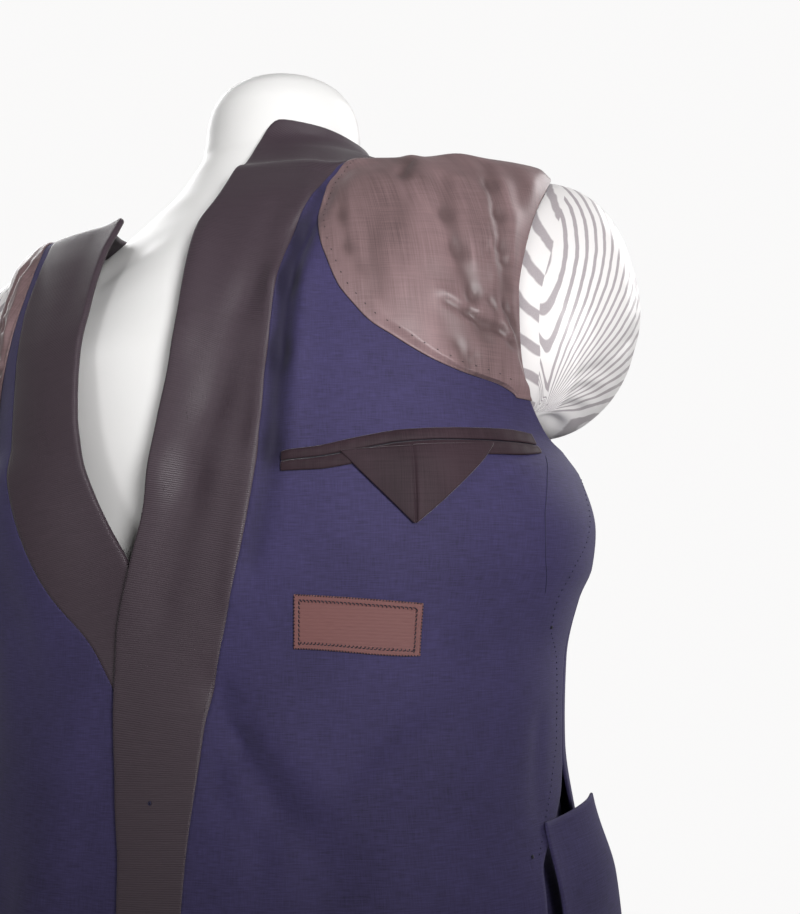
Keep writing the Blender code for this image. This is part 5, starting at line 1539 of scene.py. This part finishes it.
def stripe_count(lines, across, up, polar, degree):
    """Number of the stripe at a place: whole on each guide line, smooth in between."""
    known = np.array([(x, z, k) for k, line in enumerate(lines) for x, z in line])
    if polar:
        fitted = about_focus(known[:, 0], known[:, 1])
        asked = about_focus(across, up)
    else:
        fitted = ((known[:, 0] - 0.175) * 10.0, (known[:, 1] - 0.67) * 10.0)
        asked = ((across - 0.175) * 10.0, (up - 0.67) * 10.0)
    terms = powers(*fitted, degree)
    calm = 0.02 * np.eye(terms.shape[1])
    share = np.linalg.solve(terms.T @ terms + calm, terms.T @ known[:, 2])
    return powers(*asked, degree) @ share


def stripe_places(grid, side):
    """Stripe numbers of the striped lining, inside its seam and outside it, each with a path along."""
    turn = math.radians(CAMERA_TURN)
    across = side * grid[..., 0] * math.cos(turn) + grid[..., 1] * math.sin(turn)
    up = grid[..., 2]
    outside = np.stack([stripe_count(STRIPE_LINES, across, up, True, 4), up], -1)
    inside = np.stack([stripe_count(SEAM_STRIPES, across, up, False, 2), up], -1)
    return inside, outside


def make_sleeve(side, wool, striped):
    """Wool sleeve and its striped lining, which covers the bulge."""
    tag = TAG[side]
    s, grid, n = sleeve_surface(side)
    rows = np.arange(len(grid))[:, None] * SLEEVE_ROW
    places = np.stack([s[None, :] * SLEEVE_ROUND + 0 * rows, -rows + 0 * s[None, :]], -1)
    kept = np.unique(np.append(np.arange(0, len(grid), 2), len(grid) - 1))
    coarse = np.ix_(kept, np.arange(0, SLEEVE_TURNS, 2))
    low = (grid - n * (SLEEVE + 0.5 * LOOSE))[coarse]
    high = (grid - n * 0.5 * LOOSE)[coarse]
    obj = cloth("sleeve_wool_" + tag, low, high, places[coarse], wool, round_u=True)
    finish_cloth(obj, low, "sleeve_" + tag, round_u=True)
    keep = SLEEVE_OVER + TUBE_STEPS
    inside, outside = stripe_places(grid, side)
    low = (grid + n * 0.5 * LOOSE)[:keep]
    high = (grid + n * (LINING + 0.5 * LOOSE))[:keep]
    lining = cloth("sleeve_striped_" + tag, low, high, inside[:keep], striped, round_u=True,
                   split=SEAM_ROWS, uv_below=outside[:keep])
    return finish_cloth(lining, high, "sleeve_lining_" + tag, round_u=True)


# ---------------------------------------------------------------- pocket, label, vents, button
def on_front(phi, z, out):
    """Point over the right front."""
    v = v_of_z(z)
    return skin(phi, v, out + wool_lift(phi, v))


def strip_between(phi, top, bottom, rows):
    """Angles and heights of a strip between two edges, and the share of the way down of its rows."""
    t = np.linspace(0, 1, rows)[:, None]
    z = top[None, :] + (bottom - top)[None, :] * t
    return phi[None, :] + 0 * z, z, t


def cloth_on_front(name, phi, z, out, wall, mat):
    """Cloth over the right front, by angle and height; gives the object and its outer face."""
    high = on_front(phi, z, out + wall)
    return cloth(name, on_front(phi, z, out), high, flat_xy(phi, v_of_z(z)), mat), high


def make_jet(end, top_column, mat):
    """One jet of the pocket, slightly crowned and rippled; end is upper or lower."""
    phi = np.linspace(POCKET_JETS[0][0], POCKET_JETS[-1][0], 150)
    top = column(POCKET_JETS, top_column, phi)
    bottom = column(POCKET_JETS, top_column + 1, phi)
    phi, z, t = strip_between(phi, top, bottom, 9)
    crown = 0.0005 * np.sin(np.pi * t) * np.ones_like(z)
    ripple = 0.00012 * np.sin(phi * 2.1 + 3.0 * t) * np.sin(np.pi * t)
    wall = JET_WALL + crown + ripple
    obj, high = cloth_on_front("pocket_jet_" + end + "_satin", phi, z, JET_OUT, wall, mat)
    return finish_cloth(obj, high, "pocket_jet_" + end)


def make_slit(mat):
    """Dark strip between the jets, reaching a little under both: painted shade in the pocket's opening.
    """
    phi = np.linspace(POCKET_JETS[0][0] + 0.5, POCKET_JETS[-1][0] - 0.5, 90)
    top = column(POCKET_JETS, 2, phi) + SLIT_UNDER
    bottom = column(POCKET_JETS, 3, phi) - SLIT_UNDER
    phi, z, _ = strip_between(phi, top, bottom, 3)
    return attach(cloth_on_front("pocket_slit_shade", phi, z, SHELL + 0.0001, 0.0005, mat)[0], "root")


def make_tab(mat):
    """Folded three-cornered tab, its two halves meeting along the middle."""
    t = np.linspace(0, 1, 60)[:, None]
    u = np.linspace(0, 1, 81)[None, :]
    left = TAB_LEFT[0] + (TAB_TIP[0] - 0.25 - TAB_LEFT[0]) * t
    right = TAB_RIGHT[0] + (TAB_TIP[0] + 0.25 - TAB_RIGHT[0]) * t
    phi = left + (right - left) * u
    top = TAB_LEFT[1] + (TAB_RIGHT[1] - TAB_LEFT[1]) * (phi - TAB_LEFT[0]) / (TAB_RIGHT[0] - TAB_LEFT[0])
    z = top + (TAB_TIP[1] - top) * t
    middle = TAB_TIP[0] + 0.15
    ditch = np.exp(-((phi - middle) / 0.22) ** 2)
    lean = 0.0004 * np.tanh((phi - middle) / 0.25)
    soft = 0.0007 * np.sin(np.pi * np.clip(u, 0, 1)) ** 0.7 * (1 - 0.5 * t)
    wall = TAB_WALL + soft + lean - 0.0010 * ditch
    obj, high = cloth_on_front("pocket_tab_satin", phi, z, TAB_OUT, wall, mat)
    return finish_cloth(obj, high, "pocket_tab")


def label_point(x, y, out):
    """Point of the label: x from its left to its right edge, y from its top to its bottom, 0 to 1."""
    phi = LABEL_LEFT + (LABEL_RIGHT - LABEL_LEFT) * x
    top = LABEL_TOP[0] + (LABEL_TOP[1] - LABEL_TOP[0]) * x + 0.0006 * np.sin(np.pi * x)
    bottom = LABEL_BOTTOM[0] + (LABEL_BOTTOM[1] - LABEL_BOTTOM[0]) * smooth(x)
    z = top + (bottom - top) * y
    return on_front(phi, z, out), phi, z


def make_label(mat):
    """Bare label with a turned edge."""
    x = np.linspace(0, 1, 100)[None, :]
    y = np.linspace(0, 1, 40)[:, None]
    near = np.minimum(np.minimum(x, 1 - x) * LABEL_SPAN[0], np.minimum(y, 1 - y) * LABEL_SPAN[1])
    hem = 0.00035 * smooth((0.0038 - near) / 0.0008)
    low = label_point(x, y, LABEL_OUT)[0]
    high, phi, z = label_point(x, y, LABEL_OUT + 0.0007 + hem)
    obj = cloth("label_woven", low, high, flat_xy(phi, v_of_z(z)), mat)
    return finish_cloth(obj, high, "label")


def label_stitch(x0, y0, x1, y1):
    """Both ends and the normal of one stitch on the label, by places from its top left corner."""
    out = LABEL_OUT + 0.0011
    width, height = LABEL_SPAN
    start = label_point(np.array(x0 / width), np.array(y0 / height), out)[0]
    end, phi, z = label_point(np.array(x1 / width), np.array(y1 / height), out)
    return start, end, skin_normal(float(phi), float(v_of_z(z)))


def make_label_stitches(mat):
    """Stitches round the label: a running line with short cross stitches, and whips over the edge."""
    width, height = LABEL_SPAN
    inset, bite, pitch = 0.0036, 0.0013, 0.0027
    whip, edge, start, stop = 0.0009, 0.0005, 0.0012, 0.0008
    dash, cross = pitch * 0.55, pitch * 0.75
    ends = []
    for x in np.arange(inset, width - inset, pitch):
        for y, way in ((inset * 0.8, 1), (height - inset * 0.8, -1)):
            ends.append(label_stitch(x, y, x + dash, y))
            ends.append(label_stitch(x + dash, y, x + cross, y + way * bite))
    for y in np.arange(inset, height - inset, pitch):
        for x, way in ((inset, 1), (width - inset, -1)):
            ends.append(label_stitch(x, y, x, y + dash))
            ends.append(label_stitch(x, y + dash, x + way * bite * 0.7, y + cross))
    for x in np.arange(start, width - stop, cross):
        for y, way in ((edge, -1), (height - edge, 1)):
            ends.append(label_stitch(x, y, x + 0.0006, y + way * whip))
    for y in np.arange(start, height - stop, cross):
        for x, way in ((edge, -1), (width - edge, 1)):
            ends.append(label_stitch(x, y, x + way * whip, y + 0.0006))
    return threads("label_stitches", ends, 0.00034, mat, 0.00016)


def smooth_line(line, count):
    """Angles and heights at count places along a smooth line through phi, z points."""
    t = np.linspace(0, len(line) - 1, count)
    packed = np.column_stack([np.arange(len(line)), np.array(line, float)])
    return column(packed, 1, t), column(packed, 2, t)


def dashes_on_front(line, pitch, length, out):
    """Short stitches along a line of phi, z points of the right front."""
    phi, z = smooth_line(line, 400)
    flat = np.stack([np.radians(phi) * ROUND, z], -1)
    way = np.concatenate([[0.0], np.cumsum(np.linalg.norm(np.diff(flat, axis=0), axis=1))])
    ends = []
    for at in np.arange(0.5 * pitch, way[-1] - length, pitch):
        p = [np.interp(q, way, phi) for q in (at, at + length)]
        h = [np.interp(q, way, z) for q in (at, at + length)]
        a = on_front(p[0], h[0], out)
        b = on_front(p[1], h[1], out)
        ends.append((a, b, skin_normal(p[0], float(v_of_z(h[0])))))
    return ends


def make_prick_stitches(mat):
    """Hand stitches along the side of the right front."""
    ends = dashes_on_front(PRICK_LINE, 0.0040, 0.0011, SHELL + 0.00012)
    threads("side_prick_stitches", ends, 0.00030, mat, 0.00015)


def make_dart(mat):
    """Thin line of the underarm dart."""
    phi, z = smooth_line(DART_LINE, 80)
    strand("dart_line", on_front(phi, z, SHELL + 0.00005), 0.00028, mat)


def make_side_tacks(mat):
    """Three short bars of thread, each of three strands."""
    ends = []
    out = SHELL + 0.0002
    for phi, z in TACKS:
        n = skin_normal(phi, float(v_of_z(z)))
        for k in (-1, 0, 1):
            level = z + 0.0006 * k
            ends.append((on_front(phi - 0.35, level, out), on_front(phi + 0.35, level + 0.0003, out), n))
    threads("side_tacks", ends, 0.00042, mat, 0.0004)


def make_lining_stitches(mat):
    """Pick stitches along the free edge of the right front lining, wider apart low down."""
    ends = []
    out = SHELL + GAP + LINING + 0.00010
    half = 0.0006
    for low, high, pitch in ((0.034, 0.200, 0.0056), (0.203, 0.2995, 0.0085)):
        for phi, v, dphi, dv in zip(*edge_line(1, 0.0052, low, high, pitch)):
            lift = satin_at(phi, v)
            a = skin(phi - dphi * half, v - dv * half, out + lift)
            b = skin(phi + dphi * half, v + dv * half, out + lift)
            ends.append((a, b, skin_normal(phi, v)))
    threads("lining_pick_stitches", ends, 0.00033, mat, 0.00015)


def make_button_stitches(mat):
    """Knot of the button's thread on the facing: five stitches across a small ring."""
    phi, z = BUTTON_STITCHES
    v = float(v_of_z(z))
    n = skin_normal(phi, v)
    ends = []
    for k in range(5):
        turn = 2 * math.pi * k / 5
        pair = [skin(phi + 0.42 * math.cos(a), v + 0.0013 * math.sin(a), FACING + 0.0002)
                for a in (turn, turn + 1.9)]
        ends.append((pair[0], pair[1], n))
    threads("button_stitches", ends, 0.00040, mat, 0.0004)


def make_vent_lap(side, mat):
    """Lap of a side vent, standing a little open at its top."""
    tag = TAG[side]
    u = np.linspace(0, 1, 34)[None, :]
    w = np.linspace(0, 1, 84)[:, None]
    top = v_of_z(VENT_TOP) - 0.0060 * smooth(u)
    v = top + (HEM_V - top) * w
    phi = -15.5 + (26.0 - 8.0 * smooth((0.66 - v) * 12)) * u
    off = 0.0135 * smooth(u * 1.15) * (0.45 + 0.55 * np.exp(-((v - 0.60) / 0.10) ** 2))
    base = SHELL + GAP - 0.0004 + off
    obj, high = cloth_on_skin("vent_lap_wool_" + tag, phi, v, side, base, SHELL, mat)
    return finish_cloth(obj, high, "vent_lap_" + tag)


# ---------------------------------------------------------------- studio
def make_camera():
    """The photograph's view."""
    turn, lift, roll = (math.radians(a) for a in (CAMERA_TURN, CAMERA_LIFT, CAMERA_ROLL))
    fwd = Vector((-math.sin(turn) * math.cos(lift), math.cos(turn) * math.cos(lift), math.sin(lift)))
    right = Vector((math.cos(turn), math.sin(turn), 0.0))
    up = right.cross(fwd)
    r = right * math.cos(roll) + up * math.sin(roll)
    u = up * math.cos(roll) - right * math.sin(roll)
    data = bpy.data.cameras.new("camera")
    data.sensor_width = SENSOR
    data.lens = FOCAL_PX * SENSOR / IMAGE_HEIGHT
    camera = bpy.data.objects.new("camera", data)
    rows = [[r[k], u[k], -fwd[k], CAMERA_AT[k]] for k in range(3)] + [[0, 0, 0, 1]]
    camera.matrix_world = Matrix(rows)
    bpy.context.scene.collection.objects.link(camera)
    bpy.context.scene.camera = camera


def area_light(name, place, aim, size, power, spread):
    """Round soft light; spread is the width of its beam in degrees."""
    data = bpy.data.lights.new(name, "AREA")
    data.shape = "DISK"
    data.size = size
    data.energy = power
    data.spread = math.radians(spread)
    obj = bpy.data.objects.new(name, data)
    obj.location = place
    obj.rotation_euler = (Vector(aim) - Vector(place)).to_track_quat("-Z", "Y").to_euler()
    bpy.context.scene.collection.objects.link(obj)


def make_world():
    """White paper behind the form; the light that it sends on the form is weaker from below."""
    world = bpy.data.worlds.new("studio")
    world.use_nodes = True
    world.node_tree.nodes.clear()
    out = add(world, "ShaderNodeOutputWorld")
    seen = add(world, "ShaderNodeBackground")
    seen.inputs["Color"].default_value = PAPER
    lit = add(world, "ShaderNodeBackground")
    lit.inputs["Color"].default_value = SKY_COLOUR
    place = add(world, "ShaderNodeTexCoord")
    apart = add(world, "ShaderNodeSeparateXYZ")
    join(world, place.outputs["Generated"], apart.inputs[0])
    height = add(world, "ShaderNodeMapRange")
    limits = {"From Min": SKY_FROM, "From Max": SKY_TO, "To Min": SKY_LOW, "To Max": SKY_HIGH}
    for name, value in limits.items():
        height.inputs[name].default_value = value
    join(world, apart.outputs[2], height.inputs["Value"])
    join(world, height.outputs[0], lit.inputs["Strength"])
    path = add(world, "ShaderNodeLightPath")
    mix = add(world, "ShaderNodeMixShader")
    join(world, path.outputs["Is Camera Ray"], mix.inputs[0])
    join(world, lit.outputs[0], mix.inputs[1])
    join(world, seen.outputs[0], mix.inputs[2])
    join(world, mix.outputs[0], out.inputs["Surface"])
    bpy.context.scene.world = world


def make_studio(mat):
    """Pale floor, white surroundings, a soft key from the right front, a faint fill, two rear lights."""
    make_world()
    turns = [2 * math.pi * k / FLOOR_CORNERS for k in range(FLOOR_CORNERS)]
    verts = [(FLOOR_REACH * math.cos(a), FLOOR_REACH * math.sin(a), 0.0) for a in turns]
    floor = new_object("floor", np.array(verts), [tuple(range(FLOOR_CORNERS))], mat, False)
    for light in LIGHTS:
        area_light(*light)
    bpy.context.scene.view_settings.view_transform = "Standard"


# ---------------------------------------------------------------- make everything
def main():
    """Make every piece, the camera and the studio."""
    wool = wool_material()
    ribbed = ribbed_material()
    satin = satin_material("Satin lining", SATIN_DARK, SATIN_LIGHT, 0.46, 0.40)
    pocket_satin = satin_material("Pocket satin", POCKET_DARK, POCKET_LIGHT, 0.60, 0.12)
    striped = striped_material()
    navy_thread = thread_material("Navy thread", *NAVY_THREAD)
    brown_thread = thread_material("Brown thread", *BROWN_THREAD)
    dark_thread_and_shade = thread_material("Dark thread and slit shade", *DARK_THREAD_AND_SHADE)
    make_form(form_material())
    for side in (1, -1):
        # the troughs of the wool's valley and of the satin's creases get painted shade
        mark_troughs(make_front(side, wool), VALLEY_FOLDS, VALLEY_FULL)
        mark_troughs(make_back(side, wool), VALLEY_FOLDS, VALLEY_FULL)
        make_shawl(side, ribbed)
        mark_troughs(make_lining_front(side, satin), CREASES, CREASE_FULL)
        mark_troughs(make_lining_back(side, satin), CREASES, CREASE_FULL)
        make_sleeve(side, wool, striped)
        make_vent_lap(side, wool)
    make_jet("upper", 1, pocket_satin)
    make_jet("lower", 3, pocket_satin)
    # dark strip of painted shade between the jets
    make_slit(dark_thread_and_shade)
    make_tab(pocket_satin)
    make_label(label_material())
    make_label_stitches(dark_thread_and_shade)
    make_prick_stitches(navy_thread)
    make_dart(navy_thread)
    make_side_tacks(dark_thread_and_shade)
    make_lining_stitches(brown_thread)
    make_button_stitches(navy_thread)
    horn = thread_material("Button horn", *HORN)
    for slot_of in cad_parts["button"].material_slots:
        slot_of.material = horn
    make_camera()
    make_studio(floor_material())
    bpy.context.view_layer.update()


main()
